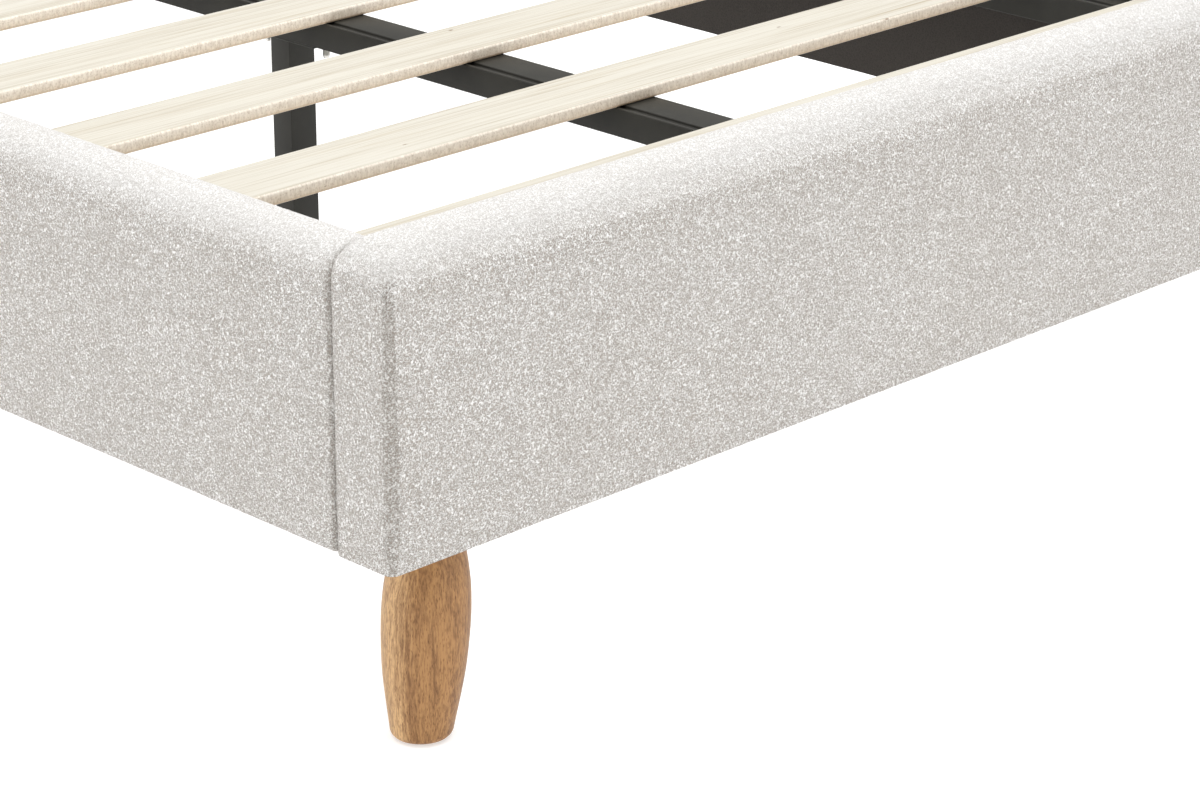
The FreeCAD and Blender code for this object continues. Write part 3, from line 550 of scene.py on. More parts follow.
def turned(mesh: Mesh, outline: Outline, steps: int) -> list[Vertex]:
    """Spin an outline about the Z axis.

    Args:
        mesh: The bmesh that it is added to.
        outline: Pairs of radius and height, from one end of the axis to the other.
        steps: Steps to a full turn.

    Returns:
        The new vertices.
    """
    before = set(mesh.verts)
    profile = [mesh.verts.new((radius, 0.0, height)) for radius, height in outline]
    edges = [mesh.edges.new(pair) for pair in zip(profile, profile[1:])]
    bmesh.ops.spin(mesh, geom=profile + edges, axis=UP, cent=(0, 0, 0), steps=steps, angle=math.tau,
                   use_merge=True)
    made = [vertex for vertex in mesh.verts if vertex not in before]
    bmesh.ops.remove_doubles(mesh, verts=made, dist=SAME_PLACE)
    made = [vertex for vertex in mesh.verts if vertex not in before]
    bmesh.ops.recalc_face_normals(mesh, faces=list({face for vertex in made for face in vertex.link_faces}))
    return made


def merged_copy(node: str) -> Mesh:
    """A design node's mesh with its loose triangles joined into flat faces."""
    mesh = bmesh.new()
    mesh.from_mesh(frame["nodes"][node].data)
    bmesh.ops.remove_doubles(mesh, verts=mesh.verts, dist=SAME_PLACE)
    bmesh.ops.dissolve_limit(mesh, angle_limit=math.radians(0.5), verts=mesh.verts, edges=mesh.edges)
    return mesh


@dataclass(frozen=True)
class Solid:
    """One separate solid of a design node, with the axis it was turned about."""

    points: np.ndarray
    axis: int
    end_band: float = 0.2 * MM
    head_share: float = 1.15

    @property
    def low(self) -> Vector:
        """Lowest corner."""
        return Vector(self.points.min(0))

    @property
    def high(self) -> Vector:
        """Highest corner."""
        return Vector(self.points.max(0))

    @property
    def centre(self) -> Vector:
        """Middle of the solid's box."""
        return (self.low + self.high) / 2

    @property
    def length(self) -> float:
        """Extent along the axis."""
        return float(np.ptp(self.points[:, self.axis]))

    def radii(self) -> np.ndarray:
        """Each point's distance from the axis."""
        others = [i for i in range(3) if i != self.axis]
        return np.linalg.norm(self.points[:, others] - np.array(self.centre)[others], axis=1)

    def head(self) -> tuple[int, float, float, float]:
        """Which end the head is on, its radius and height, and the shank's radius."""
        along, radii = self.points[:, self.axis], self.radii()
        ends = [radii[np.abs(along - limit) < self.end_band].max() for limit in (along.min(), along.max())]
        wide = along[radii > min(ends) * self.head_share]
        side = -1 if ends[0] > ends[1] else 1
        return side, float(max(ends)), float(np.ptp(wide)), float(min(ends))


def solids_of(node: str, axis: int | None = None) -> list[Solid]:
    """The separate solids of a design node, from the foot left corner on.

    Args:
        node: The design node's name.
        axis: The axis they were turned about, or None for each one's longest.

    Returns:
        The solids in a fixed order.
    """
    mesh = bmesh.new()
    mesh.from_mesh(frame["nodes"][node].data)
    bmesh.ops.remove_doubles(mesh, verts=mesh.verts, dist=SAME_PLACE)
    waiting = set(mesh.verts)
    solids = []
    while waiting:
        stack = [waiting.pop()]
        members = [tuple(stack[0].co)]
        while stack:
            for edge in stack.pop().link_edges:
                for vertex in edge.verts:
                    if vertex in waiting:
                        waiting.remove(vertex)
                        members.append(tuple(vertex.co))
                        stack.append(vertex)
        points = np.array(members)
        solids.append(Solid(points, int(np.argmax(np.ptp(points, axis=0))) if axis is None else axis))
    mesh.free()
    return sorted(solids, key=lambda solid: [round(value, 4) for value in solid.low.yxz])


def rows_of(items: bpy.types.bpy_prop_collection, key: str) -> np.ndarray:
    """A vector of each item, as an array of rows."""
    flat = np.empty(len(items) * 3)
    items.foreach_get(key, flat)
    return flat.reshape(-1, 3)


def points_of(piece: Piece) -> np.ndarray:
    """A piece's vertices as an array of rows."""
    return rows_of(piece.data.vertices, "co")


def normals_of(piece: Piece) -> np.ndarray:
    """A piece's vertex normals as an array of rows."""
    return rows_of(piece.data.vertex_normals, "vector")


def set_points(piece: Piece, points: np.ndarray) -> None:
    """Move a piece's vertices to an array of rows."""
    piece.data.vertices.foreach_set("co", points.ravel())
    piece.data.update()


def edge_ends(piece: Piece) -> tuple[np.ndarray, np.ndarray]:
    """Each edge's first and second vertex."""
    ends = np.empty(len(piece.data.edges) * 2, dtype=np.int32)
    piece.data.edges.foreach_get("vertices", ends)
    first, second = ends.reshape(-1, 2).T
    return first, second


def spacing_of(piece: Piece) -> np.ndarray:
    """Each vertex's distance to its nearest neighbour."""
    points = points_of(piece)
    first, second = edge_ends(piece)
    lengths = np.linalg.norm(points[first] - points[second], axis=1)
    nearest = np.full(len(points), np.inf)
    np.minimum.at(nearest, first, lengths)
    np.minimum.at(nearest, second, lengths)
    return nearest


def spread(piece: Piece, values: np.ndarray, rounds: int) -> np.ndarray:
    """Average each vertex's value with its neighbours', several times over."""
    first, second = edge_ends(piece)
    shares = np.bincount(first, minlength=len(values)) + np.bincount(second, minlength=len(values)) + 1
    for _ in range(rounds):
        total = np.bincount(first, values[second], len(values))
        total += np.bincount(second, values[first], len(values))
        values = (values + total) / shares
    return values


def apply_modifiers(piece: Piece) -> None:
    """Replace a piece's mesh by what its modifiers make of it."""
    graph = bpy.context.evaluated_depsgraph_get()
    graph.update()
    finished = bpy.data.meshes.new_from_object(piece.evaluated_get(graph), depsgraph=graph)
    piece.modifiers.clear()
    old, piece.data = piece.data, finished
    bpy.data.meshes.remove(old)
    finished.name = piece.name


# ------------------------------ upholstery

@dataclass(frozen=True)
class Opening:
    """Where a lining covers the board: its span along the panel, its top, and the skin's face there."""

    start: float
    stop: float
    top: float
    face: float


@dataclass
class UpholsteredPanel:
    """A padded board: pile fabric pulled over foam and stapled behind its lining."""

    name: str
    part: str
    run: Axis
    finish: bpy.types.Material
    windows: tuple = ("lining",)
    pitch: float = 9 * MM
    top_round: float = 30 * MM
    edge_radius: float = 4 * MM
    end_radius: float = 8 * MM
    tuck: float = 0.0
    crown: float = 2.2 * MM
    swell_frames: int = 20
    pressure: float = 4.0
    evening_rounds: int = 14
    stapled_hem: float = 12 * MM
    stapled_end: float = 10 * MM
    stapled_lip: float = 6 * MM
    clump: float = 0.35 * MM
    tuft: float = 0.40 * MM
    lift_span: tuple = (-0.5, 1.0)
    lift_fade: float = 1.5
    touch: float = 0.1 * MM
    snap: float = 0.25 * MM
    spare: float = 2 * MM
    crisp_degrees: float = 40.0
    lip: float = 1.2 * MM
    sink: float = 1.2 * MM
    seed: int = 1

    def __post_init__(self) -> None:
        """Measure the design's cover."""
        self.thin = Axis.Y if self.run is Axis.X else Axis.X
        self.low, self.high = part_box(self.part + "_cover")
        self.openings: list[Opening] = []

    def build(self) -> Piece:
        """Build the panel's fabric as one closed padded piece.

        Returns:
            The finished cover.
        """
        mesh = self.outer_form()
        upper = [edge for edge in sharp_edges(mesh, self.crisp_degrees)
                 if max(vertex.co.z for vertex in edge.verts) > self.low.z + self.touch]
        soften(mesh, upper, self.end_radius, 4)
        soften(mesh, sharp_edges(mesh, self.crisp_degrees), self.edge_radius)
        self.divide(mesh)
        for window in self.windows:
            self.open_window(mesh, f"{self.part}_{window}")
        cover = piece_from(self.name, mesh, self.finish)
        self.swell(cover)
        self.raise_pile(cover)
        return stand_for(cover, "boucle_fabric", self.part + "_cover", self.part + "_foam")

    def outer_form(self) -> Mesh:
        """The panel's outer skin, from the design's corners and rounds."""
        mesh = bmesh.new()
        mesh.from_mesh(frame["nodes"][self.part + "_cover"].data)
        bmesh.ops.delete(mesh, geom=list(mesh.edges), context="EDGES_FACES")
        bmesh.ops.remove_doubles(mesh, verts=mesh.verts, dist=1e-5)
        hull = bmesh.ops.convex_hull(mesh, input=mesh.verts)
        loose = [vertex for vertex in hull["geom_interior"] if isinstance(vertex, Vertex)]
        bmesh.ops.delete(mesh, geom=loose, context="VERTS")
        bmesh.ops.dissolve_limit(mesh, angle_limit=math.radians(1.0), verts=mesh.verts, edges=mesh.edges)
        bmesh.ops.recalc_face_normals(mesh, faces=mesh.faces)
        for vertex in mesh.verts:
            for side, limit in ((-1, self.low.y), (1, self.high.y)):
                if self.tuck and abs(vertex.co.y - limit) < self.touch:
                    vertex.co.y += side * self.tuck
        return mesh

    def divide(self, mesh: Mesh) -> None:
        """Cut the skin into even faces for the cloth."""
        margin = self.edge_radius + self.spare
        spans = ((self.run, margin, self.pitch), (Axis.Z, self.top_round, self.pitch),
                 (self.thin, margin, 2 * self.pitch))
        for axis, end, pitch in spans:
            start, stop = self.low[axis.value] + margin, self.high[axis.value] - end
            count = max(2, round((stop - start) / pitch))
            for place in np.linspace(start, stop, count + 1):
                cut_across(mesh, axis, float(place), self.snap)

    def open_window(self, mesh: Mesh, node: str) -> None:
        """Sink the skin where the fabric ends and a lining covers the board.

        Args:
            mesh: The skin.
            node: The lining's design node.
        """
        low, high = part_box(node)
        thin = self.thin.value
        side = 1 if (low + high)[thin] > (self.low + self.high)[thin] else -1
        face = self.high[thin] if side > 0 else self.low[thin]
        sunk = (low[thin] if side > 0 else high[thin]) - side * self.sink
        for axis in (self.run, Axis.Z):
            for limit, inwards in ((low[axis.value], 1), (high[axis.value], -1)):
                for inset in (0.0, self.lip):
                    cut_across(mesh, axis, limit + inwards * inset, self.snap)
        spans = [(self.run.value, low[self.run.value] + self.lip, high[self.run.value] - self.lip),
                 (Axis.Z.value, self.low.z, high.z - self.lip)]
        for vertex in mesh.verts:
            inside = all(start - 1e-5 <= vertex.co[i] <= stop + 1e-5 for i, start, stop in spans)
            if inside and abs(vertex.co[thin] - face) < self.edge_radius - self.touch:
                vertex.co[thin] = sunk
        self.openings.append(Opening(low[self.run.value], high[self.run.value], high.z, face))

    def swell(self, cover: Piece) -> None:
        """Blow the fabric up as cloth and keep what the foam pushes outwards."""
        before, outwards = points_of(cover), normals_of(cover)
        stapled = np.array([self.is_stapled(point) for point in before])
        held = cover.vertex_groups.new(name="stapled")
        held.add(np.flatnonzero(stapled).tolist(), 1.0, "REPLACE")
        cloth = cover.modifiers.new("swell", "CLOTH")
        cloth.settings.use_pressure = True
        cloth.settings.uniform_pressure_force = self.pressure
        cloth.settings.effector_weights.gravity = 0.0
        cloth.settings.vertex_group_mass = held.name
        cloth.settings.quality = 4
        cloth.point_cache.frame_start, cloth.point_cache.frame_end = 1, self.swell_frames
        scene = bpy.context.scene
        for step in range(1, self.swell_frames + 1):
            scene.frame_set(step)
        apply_modifiers(cover)
        scene.frame_set(1)
        rise = np.clip(np.einsum("ij,ij->i", points_of(cover) - before, outwards), 0.0, self.crown)
        rise = spread(cover, np.where(stapled, 0.0, rise), self.evening_rounds)
        rise = np.where(stapled, 0.0, rise)
        set_points(cover, before + outwards * rise[:, None])
        log.info("%s: swells by up to %.1f mm", self.name, float(rise.max()) / MM)

    def is_stapled(self, point: np.ndarray) -> bool:
        """Whether the fabric is held at a point: under the board, at a rail's ends and round a lining."""
        at_bottom = point[2] < self.low.z + self.stapled_hem
        at_end = self.tuck and min(point[1] - self.low.y, self.high.y - point[1]) < self.stapled_end
        lip, along = self.stapled_lip, point[self.run.value]
        at_lining = any(hole.start - lip < along < hole.stop + lip and point[2] < hole.top + lip
                        and abs(point[self.thin.value] - hole.face) < self.stapled_hem
                        for hole in self.openings)
        return bool(at_bottom or at_end or at_lining)

    def raise_pile(self, cover: Piece) -> None:
        """Refine the fabric twice and stand its clumps and tufts up."""
        random = np.random.default_rng(self.seed)
        for height in (self.clump, self.tuft):
            modifier = cover.modifiers.new("finer", "SUBSURF")
            modifier.levels = modifier.render_levels = 1
            apply_modifiers(cover)
            spacing = spacing_of(cover)
            even = np.clip(spacing / np.median(spacing), 0.0, 1.0) ** self.lift_fade
            lift = random.uniform(*self.lift_span, len(spacing)) * height * even
            set_points(cover, points_of(cover) + normals_of(cover) * lift[:, None])
        cover.data.shade_smooth()


@dataclass
class StretchedLining:
    """A thin black cloth stapled flat over a board, with slight puckers at its edges."""

    node: str
    finish: bpy.types.Material
    rests_on: str
    pitch: float = 12 * MM
    pucker: float = 0.35 * MM
    staple_pitch: float = 48 * MM
    pucker_reach: float = 18 * MM
    thickness: float = 0.6 * MM
    hem: float = 2.5 * MM

    def build(self) -> Piece:
        """Build the cloth as a sheet.

        Returns:
            The finished sheet.
        """
        low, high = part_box(self.node)
        low.z -= self.hem
        size = high - low
        thin = min(range(3), key=lambda i: size[i])
        run = 1 - thin
        mesh = bmesh.new()
        width, height = size[run], size.z
        bmesh.ops.create_grid(mesh, x_segments=round(width / self.pitch),
                              y_segments=round(height / self.pitch), size=0.5)
        for vertex in mesh.verts:
            along, up = vertex.co.x * width, vertex.co.y * height
            edge = min(height / 2 - abs(up), width / 2 - abs(along))
            wave = math.cos(math.tau * (along + up) / self.staple_pitch)
            wave *= math.exp(-max(edge, 0.0) / self.pucker_reach)
            place = (low + high) / 2
            place[run] += along
            place.z += up
            place[thin] += self.pucker * 0.5 * wave
            vertex.co = place
        bmesh.ops.recalc_face_normals(mesh, faces=mesh.faces)
        bmesh.ops.solidify(mesh, geom=list(mesh.faces), thickness=self.thickness)
        bmesh.ops.recalc_face_normals(mesh, faces=mesh.faces)
        sheet = piece_from(self.node + "_cloth", mesh, self.finish)
        return stand_for(sheet, "lining_cloth", self.node)


class Upholstery:
    """The four padded covers and the black cloths on their boards."""

    def __init__(self, finishes: Finishes) -> None:
        """Keep the finishes."""
        self.finishes = finishes

    def build(self) -> None:
        """Build every cover and lining."""
        pile, lining = self.finishes.pile, self.finishes.lining
        panels = [UpholsteredPanel("footboard_upholstery", "footboard", Axis.X, pile)]
        for side in Side:
            part = side.name.lower() + "_rail"
            panels.append(UpholsteredPanel(part + "_upholstery", part, Axis.Y, pile, pitch=11 * MM,
                                           top_round=25 * MM, tuck=3 * MM, end_radius=6 * MM,
                                           seed=3 + side.value))
        panels.append(UpholsteredPanel("headboard_upholstery", "headboard", Axis.X, pile, pitch=17 * MM,
                                       windows=("lining", "back_cloth"), top_round=24 * MM, crown=7 * MM,
                                       seed=5))
        for panel in panels:
            panel.build()
        for part in ("footboard", "left_rail", "right_rail"):
            StretchedLining(part + "_lining", lining, part + "_core").build()
        StretchedLining("headboard_lining", lining, "headboard_frame").build()
        StretchedLining("headboard_back_cloth", lining, "headboard_frame", pitch=20 * MM).build()


# ------------------------------ wooden parts

@dataclass
class Slats:
    """The pale slats, each with softened long edges and a slight bow of its own."""

    finish: bpy.types.Material
    edge_radius: float = 2.6 * MM
    end_radius: float = 0.4 * MM
    bays: int = 25
    bow: float = 0.5 * MM
    seed: int = 21

    def build(self) -> None:
        """Build each slat in its design node's place."""
        random = np.random.default_rng(self.seed)
        for name in sorted(n for n in frame["nodes"] if n.startswith("slat_") and n[5:].isdigit()):
            low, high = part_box(name)
            mesh = bmesh.new()
            block(mesh, low, high)
            lengthwise = [e for e in mesh.edges if abs(e.verts[0].co.x - e.verts[1].co.x) > 0.1]
            soften(mesh, lengthwise, self.edge_radius, 5)
            soften(mesh, sharp_edges(mesh, CREASE_DEGREES), self.end_radius, 2)
            for place in np.linspace(low.x, high.x, self.bays + 1)[1:-1]:
                cut_across(mesh, Axis.X, float(place), SAME_PLACE)
            sweep = float(random.uniform(-1, 1)) * self.bow
            for vertex in mesh.verts:
                part = (vertex.co.x - low.x) / (high.x - low.x)
                vertex.co.y += sweep * math.sin(math.pi * part)
            stand_for(piece_from(name + "_board", mesh, self.finish), "slat_wood", name)


@dataclass
class TurnedLegs:
    """The four turned legs, which lean outwards."""

    finish: bpy.types.Material
    sides: int = 72
    rings: int = 48
    crowding: float = 1.25
    splay: float = 9.8 * MM
    toe_round: float = 5 * MM
    top_round: float = 1.5 * MM
    shape: tuple = ((0.0, 20.5), (0.4, 28.4), (0.75, 28.7), (1.0, 23.0))

    def build(self) -> None:
        """Build each leg in its design node's place."""
        for end in ("foot", "head"):
            for side in Side:
                self.leg(f"{end}_{side.name.lower()}_leg", side)

    def leg(self, node: str, side: Side) -> None:
        """Turn one leg and lean it.

        Args:
            node: The design node it stands for.
            side: The side of the bed it stands on.
        """
        low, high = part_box(node)
        height = high.z - low.z
        mesh = bmesh.new()
        turned(mesh, self.outline(height), self.sides)
        foot = Vector(((low.x + high.x) / 2, (low.y + high.y) / 2, low.z))
        glide = min((solid.centre for solid in solids_of("leg_glides", Axis.Z.value)),
                    key=lambda centre: (centre - foot).length)
        for vertex in mesh.verts:
            vertex.co.x -= side.value * self.splay * vertex.co.z / height
        bmesh.ops.translate(mesh, vec=(glide.x, glide.y, low.z), verts=mesh.verts)
        stand_for(piece_from(node + "_turned", mesh, self.finish), "leg_wood", node)

    def outline(self, height: float) -> Outline:
        """The half outline from the middle of the toe to the middle of the top."""
        ring = []
        for part in np.linspace(0.0, 1.0, self.rings) ** self.crowding:
            radius = eased(self.shape, float(part)) * MM
            up = float(part) * height
            if up < self.toe_round:
                radius -= self.toe_round - math.sqrt(self.toe_round ** 2 - (self.toe_round - up) ** 2)
            ring.append((radius, up))
        return [(0.0, 0.0)] + ring + [(ring[-1][0] - self.top_round, height), (0.0, height)]


def eased(points: Outline, place: float) -> float:
    """A smooth curve through pairs of place and value, read at a place."""
    places, values = zip(*points)
    index = min(max(int(np.searchsorted(places, place)) - 1, 0), len(places) - 2)
    slopes = np.gradient(values, places)
    span = places[index + 1] - places[index]
    t = (place - places[index]) / span
    start = (2 * t ** 3 - 3 * t ** 2 + 1) * values[index] + (t ** 3 - 2 * t ** 2 + t) * span * slopes[index]
    end = (3 * t ** 2 - 2 * t ** 3) * values[index + 1] + (t ** 3 - t ** 2) * span * slopes[index + 1]
    return float(start + end)


# ------------------------------ steel and small parts

@dataclass
class SteelWork:
    """Sections, legs and brackets, with the soft edges of rolled and cut steel."""

    finish: bpy.types.Material
    sections: tuple = ("centre_beam", "left_slat_ledge", "right_slat_ledge")
    roll_radius: float = 1.1 * MM
    roll_length: float = 300 * MM
    plates: tuple = ("centre_leg_1", "centre_leg_2", "beam_brackets", "foot_left_bracket",
                     "foot_right_bracket", "head_left_bracket", "head_right_bracket")
    plate_radius: float = 0.6 * MM
    plate_length: float = 10 * MM

    def build(self) -> None:
        """Build each section, leg and bracket."""
        for node in self.sections:
            self.softened(node, self.roll_radius, self.roll_length)
        for node in self.plates:
            self.softened(node, self.plate_radius, self.plate_length)

    def softened(self, node: str, radius: float, shortest: float) -> None:
        """A design node's shape with its long edges rounded.

        Args:
            node: The design node it stands for.
            radius: The rounding.
            shortest: Edges shorter than this, such as a hole's, stay as they are.
        """
        mesh = merged_copy(node)
        soften(mesh, sharp_edges(mesh, CREASE_DEGREES, shortest), radius, 3)
        stand_for(piece_from(node + "_steel", mesh, self.finish, sharp_degrees=25.0), "black_steel", node)


def lowest_face(vertices: Iterable[Vertex]) -> bmesh.types.BMFace:
    """The lowest of the faces round some vertices."""
    faces = {face for vertex in vertices for face in vertex.link_faces}
    return min(faces, key=lambda face: face.calc_center_median().z)


class Drive(Enum):
    """How a fastener is turned."""

    HEX = "six flats"
    SOCKET = "six-sided socket"


@dataclass
class Fasteners:
    """Bolts, screws, nuts and washers, each in its design solid's place."""

    zinc: bpy.types.Material
    thread_pitch: float = 1.0 * MM
    thread_depth: float = 0.32 * MM
    plain_end: float = 1.5 * MM
    washer_share: float = 0.2
    six_sided: tuple = ("beam_bolts", "flange_bolts")

    def build(self) -> None:
        """Build every group of fasteners."""
        for node in ("corner_bolts", "beam_bolts", "flange_bolts", "ledge_screws", "beam_bracket_screws",
                     "slat_screws"):
            self.group(node, Drive.HEX if node in self.six_sided else Drive.SOCKET)
        self.nuts("flange_nuts")

    def group(self, node: str, drive: Drive) -> None:
        """One node's bolts or screws.

        Args:
            node: The design node they stand for.
            drive: How they are turned.
        """
        mesh = bmesh.new()
        for solid in solids_of(node):
            side, head_radius, head_height, shank_radius = solid.head()
            made = self.head(mesh, head_radius, head_height, drive)
            made += turned(mesh, self.thread(shank_radius, solid.length - head_height), 12)
            direction = Vector()
            direction[solid.axis] = -float(side)
            base = solid.centre
            base[solid.axis] = (solid.low if side < 0 else solid.high)[solid.axis] - side * head_height
            place = Matrix.Translation(base) @ direction.to_track_quat("Z", "Y").to_matrix().to_4x4()
            bmesh.ops.transform(mesh, matrix=place, verts=made)
        stand_for(piece_from(node + "_set", mesh, self.zinc, sharp_degrees=30.0), "zinc_steel", node)

    def head(self, mesh: Mesh, radius: float, height: float, drive: Drive) -> list[Vertex]:
        """A head below the XY plane, with its drive on its far face."""
        blank = prism(mesh, 6 if drive is Drive.HEX else 20, radius, height, -height / 2)
        made = soften(mesh, lowest_face(blank).edges, radius * 0.14) | {v for v in blank if v.is_valid}
        far = lowest_face(made)
        if drive is Drive.SOCKET:
            made |= set(far.verts)
            bmesh.ops.inset_region(mesh, faces=[far], thickness=radius * 0.38)
            sunk = bmesh.ops.extrude_discrete_faces(mesh, faces=[far])["faces"][0]
            bmesh.ops.translate(mesh, vec=(0, 0, height * 0.5), verts=sunk.verts)
            edges = {edge for vertex in made | set(sunk.verts) for edge in vertex.link_edges}
            made |= {vertex for edge in edges for vertex in edge.verts}
        return list(made)

    def thread(self, radius: float, length: float) -> Outline:
        """The half outline of a threaded shank that ends in a short point."""
        outline = [(0.0, 0.0), (radius, 0.0), (radius, self.plain_end)]
        turns = max(1, int((length - 2 * self.plain_end) / self.thread_pitch))
        for turn in range(turns):
            base = self.plain_end + turn * self.thread_pitch
            outline.append((radius - self.thread_depth, base + self.thread_pitch * 0.5))
            outline.append((radius, base + self.thread_pitch))
        return outline + [(radius * 0.7, length), (0.0, length)]

    def nuts(self, node: str) -> None:
        """Six-sided nuts round their bolts, each on a thin washer."""
        mesh = bmesh.new()
        for solid in solids_of(node, Axis.Z.value):
            radius = float(solid.radii().max())
            blank = prism(mesh, 6, radius, solid.length * (1 - self.washer_share))
            caps = [edge for edge in {edge for vertex in blank for edge in vertex.link_edges}
                    if abs(edge.verts[0].co.z - edge.verts[1].co.z) < SAME_PLACE]
            nut = soften(mesh, caps, radius * 0.1, 2) | {vertex for vertex in blank if vertex.is_valid}
            washer = prism(mesh, 28, radius, solid.length * self.washer_share)
            for made, rise in ((nut, -self.washer_share / 2), (washer, (1 - self.washer_share) / 2)):
                bmesh.ops.translate(mesh, vec=solid.centre + UP * solid.length * rise, verts=list(made))
        stand_for(piece_from(node + "_set", mesh, self.zinc, sharp_degrees=30.0), "zinc_steel", node)


@dataclass
class LevellingFeet:
    """The two centre legs' screw feet, which move with their own bodies."""

    zinc: bpy.types.Material
    plastic: bpy.types.Material
    bodies: tuple = ("foot_end_leveller", "head_end_leveller")
    thread_pitch: float = 1.25 * MM
    thread_depth: float = 0.6 * MM
    pad_shape: tuple = ((0.0, 0.0), (0.90, 0.0), (0.97, 0.12), (1.0, 0.3), (1.0, 0.62), (0.93, 0.74),
                        (0.55, 0.80), (0.45, 1.0), (0.0, 1.0))
    ribs: int = 30
    rib_depth: float = 0.9 * MM
    ribbed_from: float = 0.92

    def build(self) -> None:
        """Build each stem and each pad."""
        for number, body in enumerate(self.bodies, start=1):
            self.stem(f"levelling_stem_{number}", body)
            self.pad(f"levelling_pad_{number}", body)

    def stem(self, node: str, body: str) -> None:
        """A threaded stem."""
        low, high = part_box(node)
        radius, height = (high.x - low.x) / 2, high.z - low.z
        outline = [(0.0, 0.0), (radius - self.thread_depth, 0.0)]
        for turn in range(int(height / self.thread_pitch) - 1):
            base = (turn + 0.5) * self.thread_pitch
            outline += [(radius, base), (radius - self.thread_depth, base + self.thread_pitch / 2)]
        outline += [(radius - self.thread_depth, height), (0.0, height)]
        mesh = bmesh.new()
        turned(mesh, outline, 28)
        stand_for(piece_from(node + "_thread", stood_at(mesh, low, high), self.zinc, body),
                  "zinc_steel", node)

    def pad(self, node: str, body: str) -> None:
        """A plastic pad with finger ribs round its edge and a collar on top."""
        low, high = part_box(node)
        radius, height = (high.x - low.x) / 2, high.z - low.z
        mesh = bmesh.new()
        turned(mesh, [(radius * reach, height * up) for reach, up in self.pad_shape], self.ribs * 4)
        for vertex in mesh.verts:
            reach = vertex.co.xy.length
            if reach > radius * self.ribbed_from:
                angle = math.atan2(vertex.co.y, vertex.co.x)
                pinch = self.rib_depth * (0.5 - 0.5 * math.cos(angle * self.ribs))
                vertex.co.xy *= (reach - pinch) / reach
        stand_for(piece_from(node + "_moulded", stood_at(mesh, low, high), self.plastic, body),
                  "black_plastic", node)


@dataclass
class PlasticParts:
    """Glides under the wooden legs and end caps in the steel sections."""

    plastic: bpy.types.Material
    glide_shape: tuple = ((0.0, 0.0), (0.93, 0.0), (1.0, 0.35), (1.0, 1.0), (0.0, 1.0))
    cap_radius: float = 0.5 * MM

    def build(self) -> None:
        """Build the glides and the caps."""
        mesh = bmesh.new()
        for solid in solids_of("leg_glides", Axis.Z.value):
            radius, height = float(solid.radii().max()), solid.length
            made = turned(mesh, [(radius * reach, height * up) for reach, up in self.glide_shape], 48)
            bmesh.ops.translate(mesh, vec=(solid.centre.x, solid.centre.y, solid.low.z), verts=made)
        stand_for(piece_from("leg_glides_set", mesh, self.plastic), "black_plastic", "leg_glides")
        mesh = merged_copy("tube_end_caps")
        soften(mesh, sharp_edges(mesh, CREASE_DEGREES), self.cap_radius, 2)
        stand_for(piece_from("tube_end_caps_set", mesh, self.plastic), "black_plastic", "tube_end_caps")


# ------------------------------ studio

@dataclass(frozen=True)
class SoftLight:
    """One large soft light."""

    name: str
    place: tuple
    aim: tuple
    size: float
    power: float

    def build(self) -> None:
        """Hang the light."""
        light = bpy.data.lights.new(self.name, "AREA")
        light.size, light.energy = self.size, self.power
        lamp = bpy.data.objects.new(self.name, light)
        bpy.context.scene.collection.objects.link(lamp)
        lamp.location = self.place
        lamp.rotation_euler = (Vector(self.aim) - Vector(self.place)).to_track_quat("-Z", "Y").to_euler()


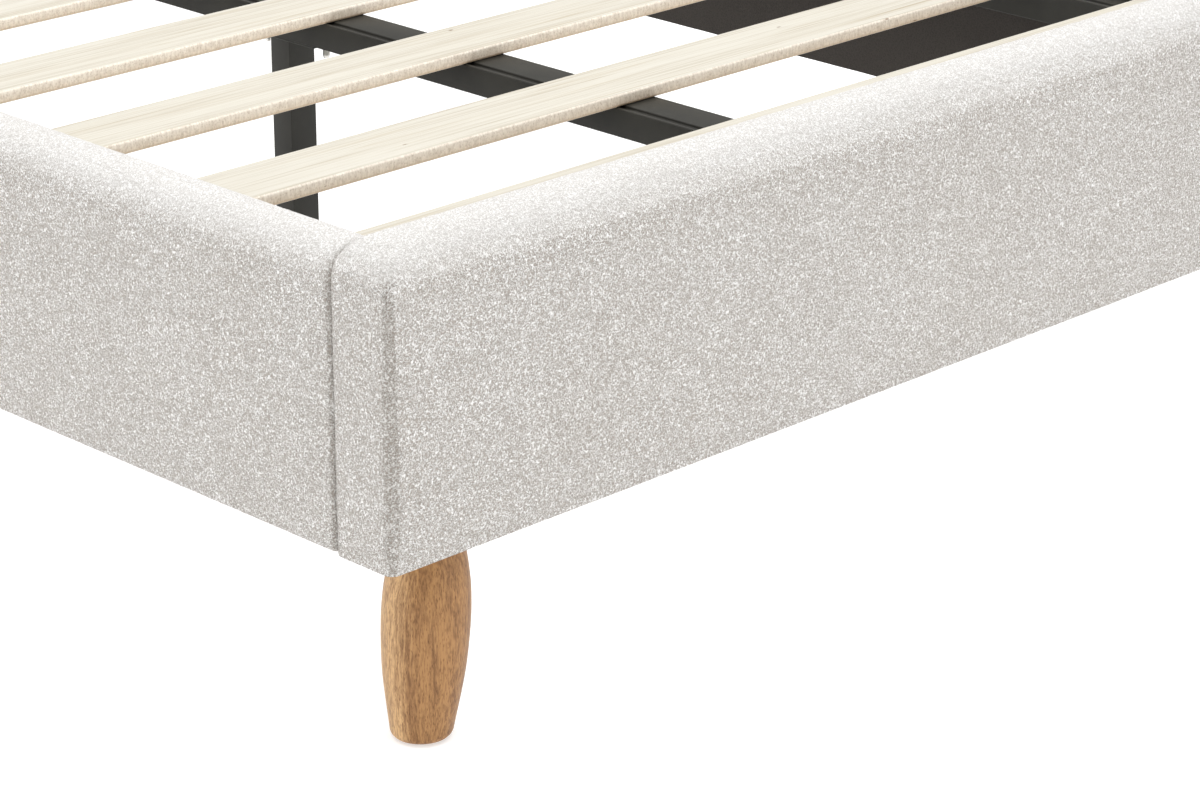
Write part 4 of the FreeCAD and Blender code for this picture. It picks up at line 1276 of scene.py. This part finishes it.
@dataclass
class Studio:
    """Floor, soft lights and camera."""

    lens: float = 112.3
    stand_off: tuple = (-1.4318, -1.6252, 1.0943)
    azimuth: float = 44.86
    pitch: float = 21.08
    room: float = 0.46
    sensor: float = 36.0
    far: float = 100.0
    lights: tuple = (
        SoftLight("overhead", (0.0, -0.3, 4.0), (0, -0.3, 0), 5.0, 306.0),
        SoftLight("left_fill", (-4.8, 1.6, 1.7), (0, 0, 0.2), 3.0, 62.0),
        SoftLight("front_fill", (0.5, -5.2, 1.7), (0, 0, 0.2), 3.0, 53.0),
    )

    def build(self) -> None:
        """Build the floor, the lights and the camera."""
        self.floor()
        for light in self.lights:
            light.build()
        world = bpy.data.worlds.new("studio")
        world.use_nodes = True
        background = world.node_tree.nodes["Background"]
        background.inputs[0].default_value = (*WHITE, 1)
        background.inputs[1].default_value = self.room
        bpy.context.scene.world = world
        self.camera()
        bpy.context.scene.view_settings.view_transform = "Standard"
        bpy.context.scene.view_settings.look = "None"

    def floor(self) -> None:
        """A plain pale floor that runs far past the bed."""
        mesh = bmesh.new()
        bmesh.ops.create_grid(mesh, x_segments=1, y_segments=1, size=30.0)
        shader = Shader("studio floor", Roughness=0.9, Specular_IOR_Level=0.0,
                        Base_Color=(0.62, 0.62, 0.62, 1), Emission_Color=(1, 1, 1, 1), Emission_Strength=0.55)
        floor = piece_from("studio_floor", mesh, shader.material)
        floor.parent = None

    def camera(self) -> None:
        """A long lens that looks down on the foot left corner."""
        camera = bpy.data.cameras.new("camera")
        camera.lens, camera.sensor_width, camera.clip_end = self.lens, self.sensor, self.far
        holder = bpy.data.objects.new("camera", camera)
        bpy.context.scene.collection.objects.link(holder)
        holder.location = CAD_BOX[0] + Vector(self.stand_off)
        holder.rotation_euler = (math.radians(90.0 - self.pitch), 0.0, math.radians(-self.azimuth))
        bpy.context.scene.camera = holder


# ------------------------------ the bed

def dress_design_nodes(finishes: Finishes) -> None:
    """Give every design node its own finish."""
    by_slot = {
        "boucle_fabric": finishes.pile, "lining_cloth": finishes.lining, "foam": finishes.foam,
        "frame_wood": finishes.board, "hardboard": finishes.hardboard, "slat_wood": finishes.slat,
        "leg_wood": finishes.leg, "black_plastic": finishes.plastic, "zinc_steel": finishes.zinc,
        "black_steel": finishes.steel,
    }
    slots = {entry["node"]: entry["material_slot"] for entry in frame["record"]["subparts"]}
    for name, node in frame["nodes"].items():
        for slot in node.material_slots:
            slot.material = by_slot[slots[name]]


def main() -> None:
    """Build the bed and its studio."""
    finishes = Finishes()
    dress_design_nodes(finishes)
    Studio().build()
    Upholstery(finishes).build()
    Slats(finishes.slat).build()
    TurnedLegs(finishes.leg).build()
    SteelWork(finishes.steel).build()
    Fasteners(finishes.zinc).build()
    LevellingFeet(finishes.zinc, finishes.plastic).build()
    PlasticParts(finishes.plastic).build()


if __name__ == "__main__":
    main()
